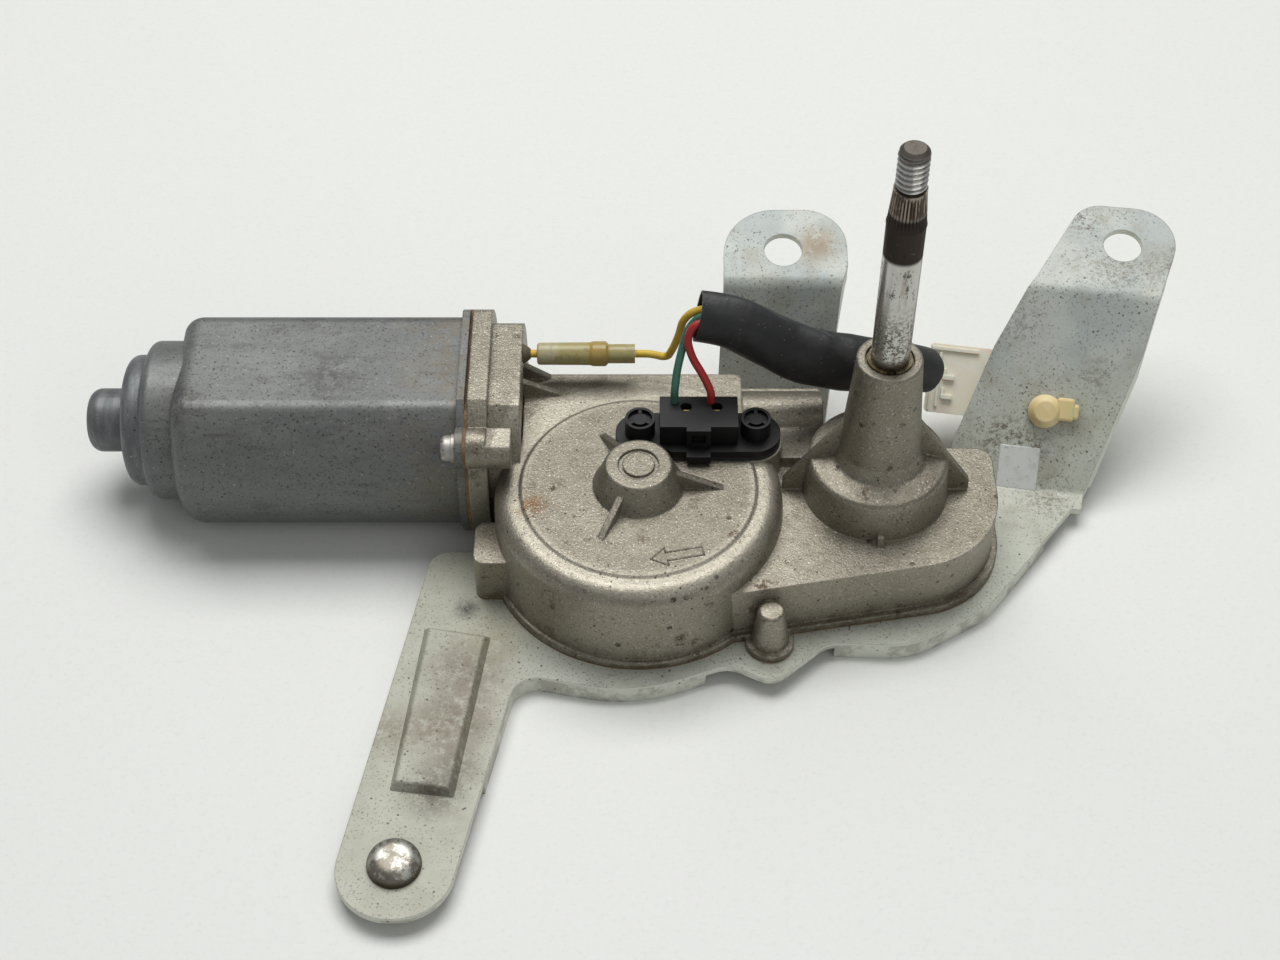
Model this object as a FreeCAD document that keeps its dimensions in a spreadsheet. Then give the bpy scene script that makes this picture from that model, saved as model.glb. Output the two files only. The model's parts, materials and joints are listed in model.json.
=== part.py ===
import FreeCAD, Part
import math
import os
import Sketcher
from FreeCAD import Placement, Rotation, Vector

# Rear wiper motor: a brushed motor drives a worm and wheel in a die-cast gear case, and a crank rod
# with a toothed sector turns the output shaft to and fro. Millimetres, +Z up along the output shaft.
# Lengths below are measured from the underside of the base plate and from the output shaft's axis.
# The model's origin is on that axis, in the plane of the shaft tower's mouth.

SIZES = {
    # Output shaft and its tower
    "mouth_height": 70.8, "shaft_radius": 5.0, "shaft_plain_top": 105.4, "seat_band_top": 117.1,
    "seat_band_radius": 4.97, "taper_top": 128.1, "taper_top_radius": 4.1, "thread_radius": 3.9,
    "thread_top": 140.2, "thread_chamfer": 1.0, "journal_radius": 3.2, "journal_bottom": 3.0,
    "tower_top_radius": 8.65, "tower_foot_radius": 11.0, "tower_foot_height": 38.6,
    "mouth_depth": 5.0, "disc_top": 34.0, "disc_top_radius": 18.9,
    "disc_foot_radius": 20.0, "bush_radius": 6.4, "upper_bush_length": 12.0, "lower_bush_length": 14.0,
    "running_gap": 0.04, "seat_gap": 0.02, "fin_thick": 1.8, "fin_reach": 25.5, "fin_top": 50.0,
    # Base plate and gasket
    "plate_thick": 2.0, "gasket_thick": 0.5, "flange_depth": 4.0,
    # Wheel chamber, deck and platform of the gear case
    "wheel_x": -65.0, "wheel_y": -7.5, "chamber_radius": 39.5, "chamber_top": 30.0,
    "chamber_edge": 5.0, "case_wall": 3.5, "bead_out": 1.6, "bead_high": 2.0, "deck_top": 29.4,
    "platform_top": 21.0, "platform_wall": 3.2, "deck_back": 35.2, "block_top": 24.0,
    "block_right": -13.2, "boss_top": 38.5, "boss_radius": 9.0, "boss_foot_radius": 12.0,
    # Gear train
    "centre_distance": 34.1, "worm_height": 19.7, "module": 1.0, "wheel_teeth": 60, "wheel_thick": 8.0,
    "worm_length": 22.0, "tooth_gap": 0.22, "axle_radius": 4.0,
    # Pendulum gear
    "rocker_length": 20.0, "swing_half_angle": 24.0, "pinion_teeth": 10, "sector_teeth": 22,
    "pendulum_module": 1.25, "link_thick": 2.0, "gear_thick": 5.0, "link_gap": 0.5,
    "pin_radius": 3.0, "crank_pin_radius": 3.5,
    # Motor
    "face_x": -111.3, "can_radius": 29.1, "can_flat": 23.7, "can_length": 81.8, "can_wall": 1.8,
    "brush_room_depth": 11.0, "tunnel_radius": 6.1, "tunnel_end": -36.0, "front_bearing_radius": 7.0,
    "front_bearing_length": 8.0, "thrust_screw_radius": 4.0, "axle_top": 35.8, "can_corner": 5.5,
    "step_one_radius": 22.45, "step_one_end": 91.1, "step_two_radius": 18.5, "step_two_end": 97.4,
    "nose_radius": 9.0, "nose_end": 109.1, "yoke_flange_thick": 2.2, "yoke_flange_radius": 31.3,
    "yoke_gasket": 0.8, "case_flange_thick": 5.3, "brush_room_radius": 27.4,
    "brush_room_length": 13.9, "ear_y": 27.9, "ear_z": 18.2, "ear_radius": 5.5, "screw_radius": 2.0,
    "screw_head_radius": 3.5, "motor_shaft_radius": 3.0,
    # Bracket arms, stud and harness clip
    "lip_depth": 6.0, "rib_height": 2.4, "arm_hole_radius": 5.5, "tab_tilt": 14.0, "arm_slope": 45.35,
    "right_arm_turn": -9.2, "stud_radius": 5.0, "stud_neck_radius": 3.0, "stud_head_radius": 6.9,
    "clip_stem_radius": 3.0,
    # Terminal switch and harness
    "switch_pin_radius": 2.1, "post_radius": 4.1, "post_top": 39.0, "block_high": 6.6,
    "grommet_radius": 1.75, "wire_radius": 1.1, "sleeve_radius": 7.6, "sleeve_wall": 0.8,
    "bullet_radius": 3.12, "connector_wall": 1.5, "worm_pitch_radius": 4.1,
}


class Size:
    """A length that keeps the expression it comes from, so that a drawing can be bound to the sheet."""

    def __init__(self, value, text=None):
        self.value = float(value)
        self.text = text if text else repr(float(value))

    def join(self, other, sign, value):
        return Size(value, "(" + self.text + " " + sign + " " + other.text + ")")

    def __add__(self, other):
        other = as_size(other)
        return self.join(other, "+", self.value + other.value)

    def __sub__(self, other):
        other = as_size(other)
        return self.join(other, "-", self.value - other.value)

    def __mul__(self, other):
        other = as_size(other)
        return self.join(other, "*", self.value * other.value)

    def __truediv__(self, other):
        other = as_size(other)
        return self.join(other, "/", self.value / other.value)

    def __radd__(self, other):
        return as_size(other) + self

    def __rsub__(self, other):
        return as_size(other) - self

    def __rmul__(self, other):
        return as_size(other) * self

    def __rtruediv__(self, other):
        return as_size(other) / self

    def __neg__(self):
        return as_size(0) - self

    def __float__(self):
        return self.value


def as_size(number):
    return number if isinstance(number, Size) else Size(number)


doc = FreeCAD.newDocument("WiperMotor")
sheet = doc.addObject("Spreadsheet::Sheet", "Sizes")
for row, (alias, number) in enumerate(SIZES.items(), start=1):
    sheet.set("A" + str(row), alias)
    sheet.set("B" + str(row), str(number))
    sheet.setAlias("B" + str(row), alias)
doc.recompute()


class Sheet:
    """Reads the sheet's cells by their names."""

    def __getattr__(self, alias):
        return Size(sheet.get(alias), "Sizes." + alias)


S = Sheet()


def bind(thing, path, number):
    """Binds a property to the sheet, or sets it where the number stands by itself."""
    thing.setExpression(path, as_size(number).text)


def place(thing, x=0, y=0, z=0, turn=None):
    """Puts a sub-part at a point given from the base plate's underside."""
    thing.Placement = Placement(Vector(0, 0, 0), turn if turn else Rotation())
    bind(thing, "Placement.Base.x", x)
    bind(thing, "Placement.Base.y", y)
    bind(thing, "Placement.Base.z", z - S.mouth_height)


NODES = []


def new_body(name, x=0, y=0, z=0, turn=None):
    body = doc.addObject("PartDesign::Body", name)
    body.Label = name
    place(body, x, y, z, turn)
    NODES.append(body)
    return body


def plane_of(body, role):
    for feature in body.Origin.OriginFeatures:
        if feature.Role == role:
            return feature
    raise ValueError("no plane " + role)


def new_sketch(body, plane="XY_Plane", offset=0, shift=0, turn=0):
    """Starts a sketch on one of its body's planes, moved out by offset, along by shift, and turned."""
    sketch = body.newObject("Sketcher::SketchObject", "Sketch")
    sketch.AttachmentSupport = (plane_of(body, plane), [""])
    sketch.MapMode = "FlatFace"
    sketch.AttachmentOffset = Placement(Vector(0, 0, 0), Rotation(Vector(0, 1, 0), turn))
    bind(sketch, "AttachmentOffset.Base.x", shift)
    bind(sketch, "AttachmentOffset.Base.z", offset)
    return sketch


def fix_point(sketch, geometry, end, x, y):
    """Holds one point of a sketch at x, y."""
    for kind, axis, number in (("DistanceX", -2, as_size(x)), ("DistanceY", -1, as_size(y))):
        if number.text == "0.0":
            sketch.addConstraint(Sketcher.Constraint("PointOnObject", geometry, end, axis))
        else:
            rule = Sketcher.Constraint(kind, -1, 1, geometry, end, number.value)
            index = sketch.addConstraint(rule)
            bind(sketch, "Constraints[" + str(index) + "]", number)


def fix_radius(sketch, geometry, radius):
    radius = as_size(radius)
    index = sketch.addConstraint(Sketcher.Constraint("Radius", geometry, radius.value))
    bind(sketch, "Constraints[" + str(index) + "]", radius)


def draw_circle(sketch, x, y, radius):
    centre = Vector(float(x), float(y), 0)
    index = sketch.addGeometry(Part.Circle(centre, Vector(0, 0, 1), float(radius)), False)
    fix_point(sketch, index, 3, x, y)
    fix_radius(sketch, index, radius)


def draw_double_d(sketch, x, y, radius, flat):
    """Draws a circle cut off by two level flats, above and below its centre."""
    x, y, radius, flat = as_size(x), as_size(y), as_size(radius), as_size(flat)
    half = math.sqrt(radius.value ** 2 - flat.value ** 2)
    angle = math.asin(flat.value / radius.value)
    circle = Part.Circle(Vector(x.value, y.value, 0), Vector(0, 0, 1), radius.value)
    right = sketch.addGeometry(Part.ArcOfCircle(circle, -angle, angle), False)
    left = sketch.addGeometry(Part.ArcOfCircle(circle, math.pi - angle, math.pi + angle), False)
    top, low = [], []
    for side, spots in ((1, top), (-1, low)):
        for way in (1, -1):
            spots.append(Vector(x.value + half * way * side, y.value + flat.value * side, 0))
    upper = sketch.addGeometry(Part.LineSegment(top[0], top[1]), False)
    lower = sketch.addGeometry(Part.LineSegment(low[0], low[1]), False)
    for one, one_end, other, other_end in ((right, 2, upper, 1), (upper, 2, left, 1), (left, 2, lower, 1),
                                           (lower, 2, right, 1)):
        sketch.addConstraint(Sketcher.Constraint("Coincident", one, one_end, other, other_end))
    fix_point(sketch, right, 3, x, y)
    fix_point(sketch, left, 3, x, y)
    fix_radius(sketch, right, radius)
    fix_radius(sketch, left, radius)
    for line, height in ((upper, y + flat), (lower, y - flat)):
        sketch.addConstraint(Sketcher.Constraint("Horizontal", line))
        index = sketch.addConstraint(Sketcher.Constraint("DistanceY", -1, 1, line, 1, height.value))
        bind(sketch, "Constraints[" + str(index) + "]", height)


def corner_arc(before, corner, after, radius):
    """Works out where an arc of this radius touches the two sides of a corner."""
    one = (before - corner).normalize()
    two = (after - corner).normalize()
    half = one.getAngle(two) / 2
    reach = radius / math.tan(half)
    centre = corner + (one + two).normalize() * (radius / math.sin(half))
    return corner + one * reach, corner + two * reach, centre


def draw_outline(sketch, corners):
    """Draws a closed outline of straight sides, with an arc at each corner that states a radius."""
    spots = [Vector(float(c[0]), float(c[1]), 0) for c in corners]
    count = len(corners)
    starts = list(spots)
    ends = list(spots)
    arcs = {}
    for i, corner in enumerate(corners):
        if len(corner) > 2:
            arrive, leave, centre = corner_arc(spots[i - 1], spots[i], spots[(i + 1) % count], float(corner[2]))
            arcs[i] = (arrive, leave, centre)
            starts[i] = leave
            ends[i] = arrive
    lines = []
    for i in range(count):
        lines.append(sketch.addGeometry(Part.LineSegment(starts[i], ends[(i + 1) % count]), False))
    for i, corner in enumerate(corners):
        line_in = lines[i - 1]
        line_out = lines[i]
        if i not in arcs:
            sketch.addConstraint(Sketcher.Constraint("Coincident", line_in, 2, line_out, 1))
            fix_point(sketch, line_out, 1, corner[0], corner[1])
            continue
        arrive, leave, centre = arcs[i]
        first = arrive - centre
        last = leave - centre
        ahead = first.cross(last).z > 0
        begin, finish = (first, last) if ahead else (last, first)
        circle = Part.Circle(centre, Vector(0, 0, 1), float(corner[2]))
        arc_shape = Part.ArcOfCircle(circle, math.atan2(begin.y, begin.x), math.atan2(finish.y, finish.x))
        arc = sketch.addGeometry(arc_shape, False)
        sketch.addConstraint(Sketcher.Constraint("Tangent", line_in, 2, arc, 1 if ahead else 2))
        sketch.addConstraint(Sketcher.Constraint("Tangent", line_out, 1, arc, 2 if ahead else 1))
        fix_radius(sketch, arc, corner[2])
        point = sketch.addGeometry(Part.Point(spots[i]), True)
        sketch.addConstraint(Sketcher.Constraint("PointOnObject", point, 1, line_in))
        sketch.addConstraint(Sketcher.Constraint("PointOnObject", point, 1, line_out))
        fix_point(sketch, point, 1, corner[0], corner[1])


def add_feature(body, kind, sketch, name):
    feature = body.newObject("PartDesign::" + kind, name)
    feature.Profile = sketch
    return feature


def settle(body, feature, cuts):
    """Recomputes a feature and makes sure that it added or took away material."""
    doc.recompute([feature.Profile[0], feature, body])
    if feature.Shape.isNull() or not feature.isValid():
        raise ValueError(body.Label + ": " + feature.Name + " has no shape")
    if cuts and feature.Shape.Volume > VOLUMES.get(body.Name, 0) - 1e-6:
        raise ValueError(body.Label + ": " + feature.Name + " cuts nothing")
    VOLUMES[body.Name] = feature.Shape.Volume


VOLUMES = {}


def pad(body, sketch, length, back=False, middle=False, taper=0):
    feature = add_feature(body, "Pad", sketch, "Pad")
    bind(feature, "Length", length)
    feature.Reversed = back
    feature.Midplane = middle
    if taper:
        feature.TaperAngle = taper
    settle(body, feature, False)
    return feature


def pocket(body, sketch, length, back=False, middle=False):
    feature = add_feature(body, "Pocket", sketch, "Pocket")
    bind(feature, "Length", length)
    feature.Reversed = back
    feature.Midplane = middle
    settle(body, feature, True)
    return feature


def turn_profile(body, corners, axis="V_Axis", cut=False, x=0, y=0):
    """Revolves an outline; with V_Axis corners are (radius, height), with H_Axis (along, radius)."""
    sketch = new_sketch(body, "XZ_Plane", -as_size(y), x)
    draw_outline(sketch, corners)
    feature = add_feature(body, "Groove" if cut else "Revolution", sketch, "Turned")
    feature.ReferenceAxis = (sketch, [axis])
    feature.Angle = 360
    settle(body, feature, cut)
    return feature


def disc(body, radius, bottom, height, x=0, y=0, plane="XY_Plane"):
    sketch = new_sketch(body, plane, bottom)
    draw_circle(sketch, x, y, radius)
    return pad(body, sketch, height)


def holes(body, radius, bottom, height, spots, plane="XY_Plane"):
    sketch = new_sketch(body, plane, bottom)
    for x, y in spots:
        draw_circle(sketch, x, y, radius)
    return pocket(body, sketch, height, back=True)


def hole(body, radius, bottom, height, x=0, y=0, plane="XY_Plane"):
    return holes(body, radius, bottom, height, [(x, y)], plane)


def slab(body, corners, bottom, height, plane="XY_Plane", taper=0):
    sketch = new_sketch(body, plane, bottom)
    draw_outline(sketch, corners)
    return pad(body, sketch, height, taper=taper)


def window(body, corners, bottom, height, plane="XY_Plane"):
    sketch = new_sketch(body, plane, bottom)
    draw_outline(sketch, corners)
    return pocket(body, sketch, height, back=True)


def round_edges(body, base, radius, wanted):
    """Rounds the edges of a feature that a test picks out."""
    names = ["Edge" + str(i) for i, edge in enumerate(base.Shape.Edges, start=1) if wanted(edge)]
    if not names:
        raise ValueError(body.Label + ": no edge to round")
    feature = body.newObject("PartDesign::Fillet", "Rounded")
    feature.Base = (base, names)
    bind(feature, "Radius", radius)
    doc.recompute([feature, body])
    if not feature.isValid():
        raise ValueError(body.Label + ": fillet failed")
    VOLUMES[body.Name] = feature.Shape.Volume
    return feature


def strip_outline(face, thick, bend):
    """Outline of a bent strip from its upper face; the inside of each bend gets the radius bend."""
    points = [Vector(float(y), float(z), 0) for y, z in face]
    under = []
    for i, point in enumerate(points):
        ways = [(b - a).normalize() for a, b in zip(points[max(i - 1, 0):i + 1], points[max(i, 1):i + 2])]
        normals = [Vector(way.y, -way.x, 0) for way in ways]
        middle = sum(normals[1:], normals[0]).normalize()
        under.append(point + middle * (float(thick) / middle.dot(normals[0])))
    upper = [(point.x, point.y) for point in points]
    lower = [(point.x, point.y) for point in under]
    for i in range(1, len(points) - 1):
        rising = (points[i] - points[i - 1]).cross(points[i + 1] - points[i]).z > 0
        upper[i] += (bend if rising else bend + thick,)
        lower[i] += (bend + thick if rising else bend,)
    return upper + lower[::-1]


def inset(corners, distance):
    """The same outline drawn smaller by a distance; corners run anticlockwise."""
    points = [Vector(float(c[0]), float(c[1]), 0) for c in corners]
    count = len(points)
    result = []
    for i, corner in enumerate(corners):
        way_in = (points[i] - points[i - 1]).normalize()
        way_out = (points[(i + 1) % count] - points[i]).normalize()
        inward = [Vector(-way.y, way.x, 0) for way in (way_in, way_out)]
        middle = (inward[0] + inward[1]).normalize()
        spot = points[i] + middle * (float(distance) / middle.dot(inward[0]))
        if len(corner) > 2:
            convex = way_in.cross(way_out).z > 0
            radius = float(corner[2]) + (-float(distance) if convex else float(distance))
            result.append((spot.x, spot.y, max(radius, 0.5)))
        else:
            result.append((spot.x, spot.y))
    return result


# Places that several pieces share
BASE = S.plate_thick + S.gasket_thick
MOTOR_Y = S.wheel_y + S.centre_distance
CEILING = S.chamber_top - S.case_wall
ROOM_TOP = S.platform_top - S.platform_wall
ROOM_RADIUS = S.chamber_radius - S.case_wall
SWITCH_X, SWITCH_Y, SWITCH_REACH, SWITCH_RADIUS = -48.7, 8.9, 22.6, 7.3
SWITCH_POSTS = (-64.6, -33.0)
SWITCH_WINDOW = [(-55, 10), (-45.5, 10), (-45.5, 15), (-55, 15)]
SEAL_TOP = S.chamber_top + 1.0
SWITCH_TOP = SEAL_TOP + 2.4
LEAD_Y, LEAD_Z = 34.5, 38.3
EARS = [(-S.ear_y, S.ear_z), (S.ear_y, -S.ear_z)]
SCREW_SPOTS = [(-104.6, -17.0), (-29.7, -39.8), (27.6, 8.5), (-19.5, 30.0), (-91.0, 31.0)]


def platform_corners(out):
    """Outline of the platform under the output shaft; out widens it for the bead round its foot."""
    return [(-45, -39 - out), (33.6 + out, -24.5 - out, 26), (33.6 + out, 14.5 + out, 5), (-14, 14.5 + out),
            (-14, 22), (-45, 22)]


def gearbox_housing():
    case = new_body("gearbox_housing")
    wall_foot = S.chamber_radius + 0.4
    chamber = turn_profile(case, [
        (0, BASE), (S.chamber_radius + S.bead_out, BASE),
        (S.chamber_radius + S.bead_out, BASE + S.bead_high, 0.8), (wall_foot, BASE + S.bead_high),
        (S.chamber_radius - 0.6, S.chamber_top - 0.6, S.chamber_edge), (32.5, S.chamber_top - 0.6),
        (31.5, S.chamber_top), (0, S.chamber_top)], x=S.wheel_x, y=S.wheel_y)
    slab(case, [(-97, -2), (-36, -2), (-36, S.deck_back, 2), (-97, S.deck_back)], BASE, S.deck_top - BASE)
    slab(case, [(-40, 8), (S.block_right, 8), (S.block_right, S.deck_back - 0.3, 1.5), (-40, S.deck_back - 0.3)],
         BASE, S.block_top - BASE)
    slab(case, platform_corners(S.bead_out), BASE, S.bead_high)
    top = slab(case, platform_corners(0), BASE, S.platform_top - BASE)

    # Shaft tower on its disc
    turn_profile(case, [
        (0, ROOM_TOP), (S.disc_foot_radius, ROOM_TOP), (S.disc_foot_radius, S.platform_top),
        (S.disc_top_radius, S.disc_top - 0.6, 1.6), (S.tower_foot_radius + 1.4, S.disc_top + 1.2, 2),
        (S.tower_foot_radius, S.tower_foot_height, 2.5), (S.tower_top_radius, S.mouth_height, 0.6),
        (0, S.mouth_height)])
    fin = new_sketch(case, "XZ_Plane")
    draw_outline(fin, [(-S.fin_reach, S.platform_top - 0.5), (S.fin_reach, S.platform_top - 0.5),
                       (S.fin_reach, S.platform_top + 3.5), (S.tower_top_radius, S.fin_top),
                       (-S.tower_top_radius, S.fin_top), (-S.fin_reach, S.platform_top + 3.5)])
    pad(case, fin, S.fin_thick, middle=True)
    ridge = new_sketch(case, "YZ_Plane")
    draw_outline(ridge, [(-22.5, S.platform_top - 0.5), (-21.5, S.platform_top + 3.5), (-18, S.platform_top + 3.5),
                         (-14, S.disc_top - 1), (-10.5, S.disc_top + 5), (10.5, S.disc_top + 5),
                         (14, S.disc_top - 1), (18, S.platform_top + 3.5), (22.5, S.platform_top - 0.5)])
    pad(case, ridge, S.fin_thick, middle=True)

    # Boss over the wheel's axle, with its ribs
    turn_profile(case, [
        (0, CEILING), (S.boss_foot_radius + 0.4, CEILING), (S.boss_foot_radius + 0.4, S.chamber_top),
        (S.boss_foot_radius, S.chamber_top + 0.8, 1), (S.boss_radius, S.boss_top, 1), (0, S.boss_top)],
        x=S.wheel_x, y=S.wheel_y)
    for angle, reach in ((-118.0, 23.2), (-2.0, 24.2), (118.0, 22.4)):
        rib = new_sketch(case, "XZ_Plane", -S.wheel_y, S.wheel_x, angle)
        draw_outline(rib, [(S.boss_radius - 1, S.chamber_top - 0.5), (reach, S.chamber_top - 0.5),
                           (S.boss_radius - 1, S.boss_top - 2.0)])
        pad(case, rib, S.fin_thick, middle=True)

    # Screw bosses at the left and at the front, and the worm's end boss
    slab(case, [(-109.6, -24.6, 3), (-96, -24.6), (-96, -10), (-109.6, -10, 3)], BASE, 15)
    disc(case, 6.6, BASE, 1.5, x=SCREW_SPOTS[1][0], y=SCREW_SPOTS[1][1])
    turn_profile(case, [(0, BASE), (5.2, BASE), (3.6, 16.6, 1.2), (0, 16.6)],
                 x=SCREW_SPOTS[1][0], y=SCREW_SPOTS[1][1])
    disc(case, 8.2, -38, S.block_right + 38, x=MOTOR_Y, y=S.worm_height, plane="YZ_Plane")

    # Raised seat of the terminal switch
    seat = SWITCH_RADIUS + 0.6
    slab(case, [(SWITCH_X - SWITCH_REACH - 0.6, SWITCH_Y - seat, seat - 0.1),
                (SWITCH_X + SWITCH_REACH + 0.6, SWITCH_Y - seat, seat - 0.1),
                (SWITCH_X + SWITCH_REACH + 0.6, SWITCH_Y + seat, seat - 0.1),
                (SWITCH_X - SWITCH_REACH - 0.6, SWITCH_Y + seat, seat - 0.1)],
         ROOM_TOP + 2, S.chamber_top - ROOM_TOP - 2)

    # Motor flange with its ears, and the brush room behind it
    room_flat = S.can_flat - 1.2
    flange_flat = S.can_flat + 2.5
    mid_y, mid_z = MOTOR_Y, S.worm_height
    disc(case, S.yoke_flange_radius, S.face_x, S.case_flange_thick, x=mid_y, y=mid_z, plane="YZ_Plane")
    for y, z in EARS:
        disc(case, S.ear_radius, S.face_x, 12, x=mid_y + y, y=mid_z + z, plane="YZ_Plane")
    disc(case, S.brush_room_radius, S.face_x, S.brush_room_length, x=mid_y, y=mid_z, plane="YZ_Plane")
    wide = 40
    room_start = S.face_x + S.case_flange_thick
    room_long = S.brush_room_length - S.case_flange_thick
    for low, start, length in ((flange_flat, S.face_x, S.case_flange_thick), (room_flat, room_start, room_long)):
        window(case, [(mid_y - wide, mid_z + low), (mid_y + wide, mid_z + low),
                      (mid_y + wide, mid_z + low + 9), (mid_y - wide, mid_z + low + 9)],
               start, length, "YZ_Plane")
    window(case, [(mid_y - wide, mid_z - S.can_flat), (mid_y - wide, mid_z - S.can_flat - 9),
                  (mid_y + wide, mid_z - S.can_flat - 9), (mid_y + wide, mid_z - S.can_flat)],
           S.face_x, S.brush_room_length, "YZ_Plane")
    for along, reach in ((7.6, 9.0), (0.9, 13.0)):
        gusset = new_sketch(case, "XZ_Plane", -(MOTOR_Y + along))
        root = S.face_x + S.brush_room_length - 0.5
        draw_outline(gusset, [(root, S.deck_top - 0.5), (root + reach, S.deck_top - 0.5), (root, 35)])
        pad(case, gusset, S.fin_thick, middle=True)

    # Hollows: wheel chamber, pendulum room, worm tunnel, brush room and shaft bore
    turn_profile(case, [(0, BASE), (ROOM_RADIUS, BASE), (ROOM_RADIUS, CEILING, 2), (0, CEILING)],
                 x=S.wheel_x, y=S.wheel_y, cut=True)
    wall = S.platform_wall
    window(case, [(-45, -39 + wall), (20, -27 + wall, 6), (20, 9, 6), (-50, 9)], BASE, ROOM_TOP - BASE)
    hole(case, S.bush_radius + S.seat_gap, ROOM_TOP - 1, S.mouth_height - ROOM_TOP + 2)
    room = new_sketch(case, "YZ_Plane", S.face_x)
    draw_double_d(room, mid_y, mid_z, S.brush_room_radius - 2.6, room_flat - 2.2)
    pocket(case, room, S.brush_room_depth, back=True)
    tunnel_start = S.face_x + S.brush_room_depth
    hole(case, S.tunnel_radius, tunnel_start, S.tunnel_end - tunnel_start, mid_y, mid_z, "YZ_Plane")
    hole(case, S.front_bearing_radius + S.seat_gap, tunnel_start, S.front_bearing_length, mid_y, mid_z,
         "YZ_Plane")
    hole(case, S.thrust_screw_radius + S.seat_gap, S.tunnel_end - 1, 40, mid_y, mid_z, "YZ_Plane")
    hole(case, S.axle_radius + S.seat_gap, CEILING - 1, S.axle_top - CEILING + 1, S.wheel_x, S.wheel_y)
    turn_profile(case, [(4.3, S.boss_top - 0.8), (5.5, S.boss_top - 0.8), (5.5, S.boss_top + 1),
                        (4.3, S.boss_top + 1)], cut=True, x=S.wheel_x, y=S.wheel_y)
    window(case, SWITCH_WINDOW, CEILING - 1, S.case_wall + 2)
    holes(case, S.switch_pin_radius + S.seat_gap, CEILING - 1, S.case_wall + 2,
          [(x, SWITCH_Y) for x in SWITCH_POSTS])
    hole(case, S.grommet_radius + S.seat_gap, tunnel_start - 1, 6, LEAD_Y, LEAD_Z, "YZ_Plane")
    holes(case, S.screw_radius + S.seat_gap, BASE, 9, SCREW_SPOTS)
    holes(case, S.screw_radius + S.seat_gap, S.face_x, 11, [(mid_y + y, mid_z + z) for y, z in EARS], "YZ_Plane")


def group(name, members):
    """Several separate pieces of one kind, kept together as one node."""
    whole = doc.addObject("Part::Compound", name)
    whole.Label = name
    whole.Links = members
    for member in members:
        NODES.remove(member)
    NODES.append(whole)
    return whole


def output_shaft():
    shaft = new_body("output_shaft")
    top = S.thread_top
    turn_profile(shaft, [
        (0, S.journal_bottom), (S.journal_radius - 0.5, S.journal_bottom),
        (S.journal_radius, S.journal_bottom + 0.5), (S.journal_radius, SHOULDER),
        (S.shaft_radius + 2, SHOULDER), (S.shaft_radius + 2, COLLAR_TOP), (S.shaft_radius, COLLAR_TOP),
        (S.shaft_radius, GROOVE_LOW), (S.shaft_radius - 0.5, GROOVE_LOW),
        (S.shaft_radius - 0.5, GROOVE_LOW + 1), (S.shaft_radius, GROOVE_LOW + 1),
        (S.shaft_radius, S.shaft_plain_top), (S.seat_band_radius, S.shaft_plain_top + 0.3),
        (S.seat_band_radius, S.seat_band_top), (S.taper_top_radius, S.taper_top),
        (S.thread_radius - 0.6, S.taper_top), (S.thread_radius - 0.6, S.taper_top + 0.6),
        (S.thread_radius, S.taper_top + 1.2), (S.thread_radius, top - S.thread_chamfer),
        (S.thread_radius - S.thread_chamfer, top), (0, top)])


SHOULDER = BASE + 11.0
COLLAR_TOP = ROOM_TOP - 0.9
GROOVE_LOW = S.mouth_height - 1.0


def ring(name, inner, outer, bottom, height, x=0, y=0, z=0):
    piece = new_body(name, x, y, z)
    turn_profile(piece, [(inner, bottom), (outer, bottom), (outer, bottom + height), (inner, bottom + height)])
    return piece


def shaft_rings():
    bore = S.shaft_radius + S.running_gap
    ring("lower_bush", bore, S.bush_radius, ROOM_TOP, S.lower_bush_length)
    ring("upper_bush", bore, S.bush_radius, S.mouth_height - S.mouth_depth - S.upper_bush_length,
         S.upper_bush_length)
    ring("collar_washer", bore, S.shaft_radius + 3, ROOM_TOP - 0.8, 0.7)
    seal = new_body("shaft_seal")
    turn_profile(seal, [(bore + 0.06, S.mouth_height - S.mouth_depth + 0.3),
                        (S.bush_radius - 0.05, S.mouth_height - S.mouth_depth + 0.3),
                        (S.bush_radius - 0.05, GROOVE_LOW - 1.2), (bore + 0.06, GROOVE_LOW - 1.2)])
    ring("shaft_washer", bore, S.bush_radius - 0.1, GROOVE_LOW - 0.9, 0.8)
    clip = new_body("shaft_circlip")
    flat = new_sketch(clip, "XY_Plane", GROOVE_LOW + 0.1)
    draw_circle(flat, 0, 0, S.shaft_radius + 0.9)
    draw_circle(flat, 0, 0, S.shaft_radius - 0.45)
    pad(clip, flat, 0.8)
    window(clip, [(-1.2, -7), (1.2, -7), (1.2, 0), (-1.2, 0)], GROOVE_LOW, 1)


def motor_body(name, turn=0, y=0, z=0):
    """A sub-part on the motor's axis; its own X starts at the gear case's flange face."""
    return new_body(name, S.face_x, MOTOR_Y + y, S.worm_height + z, Rotation(Vector(1, 0, 0), turn))


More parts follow.
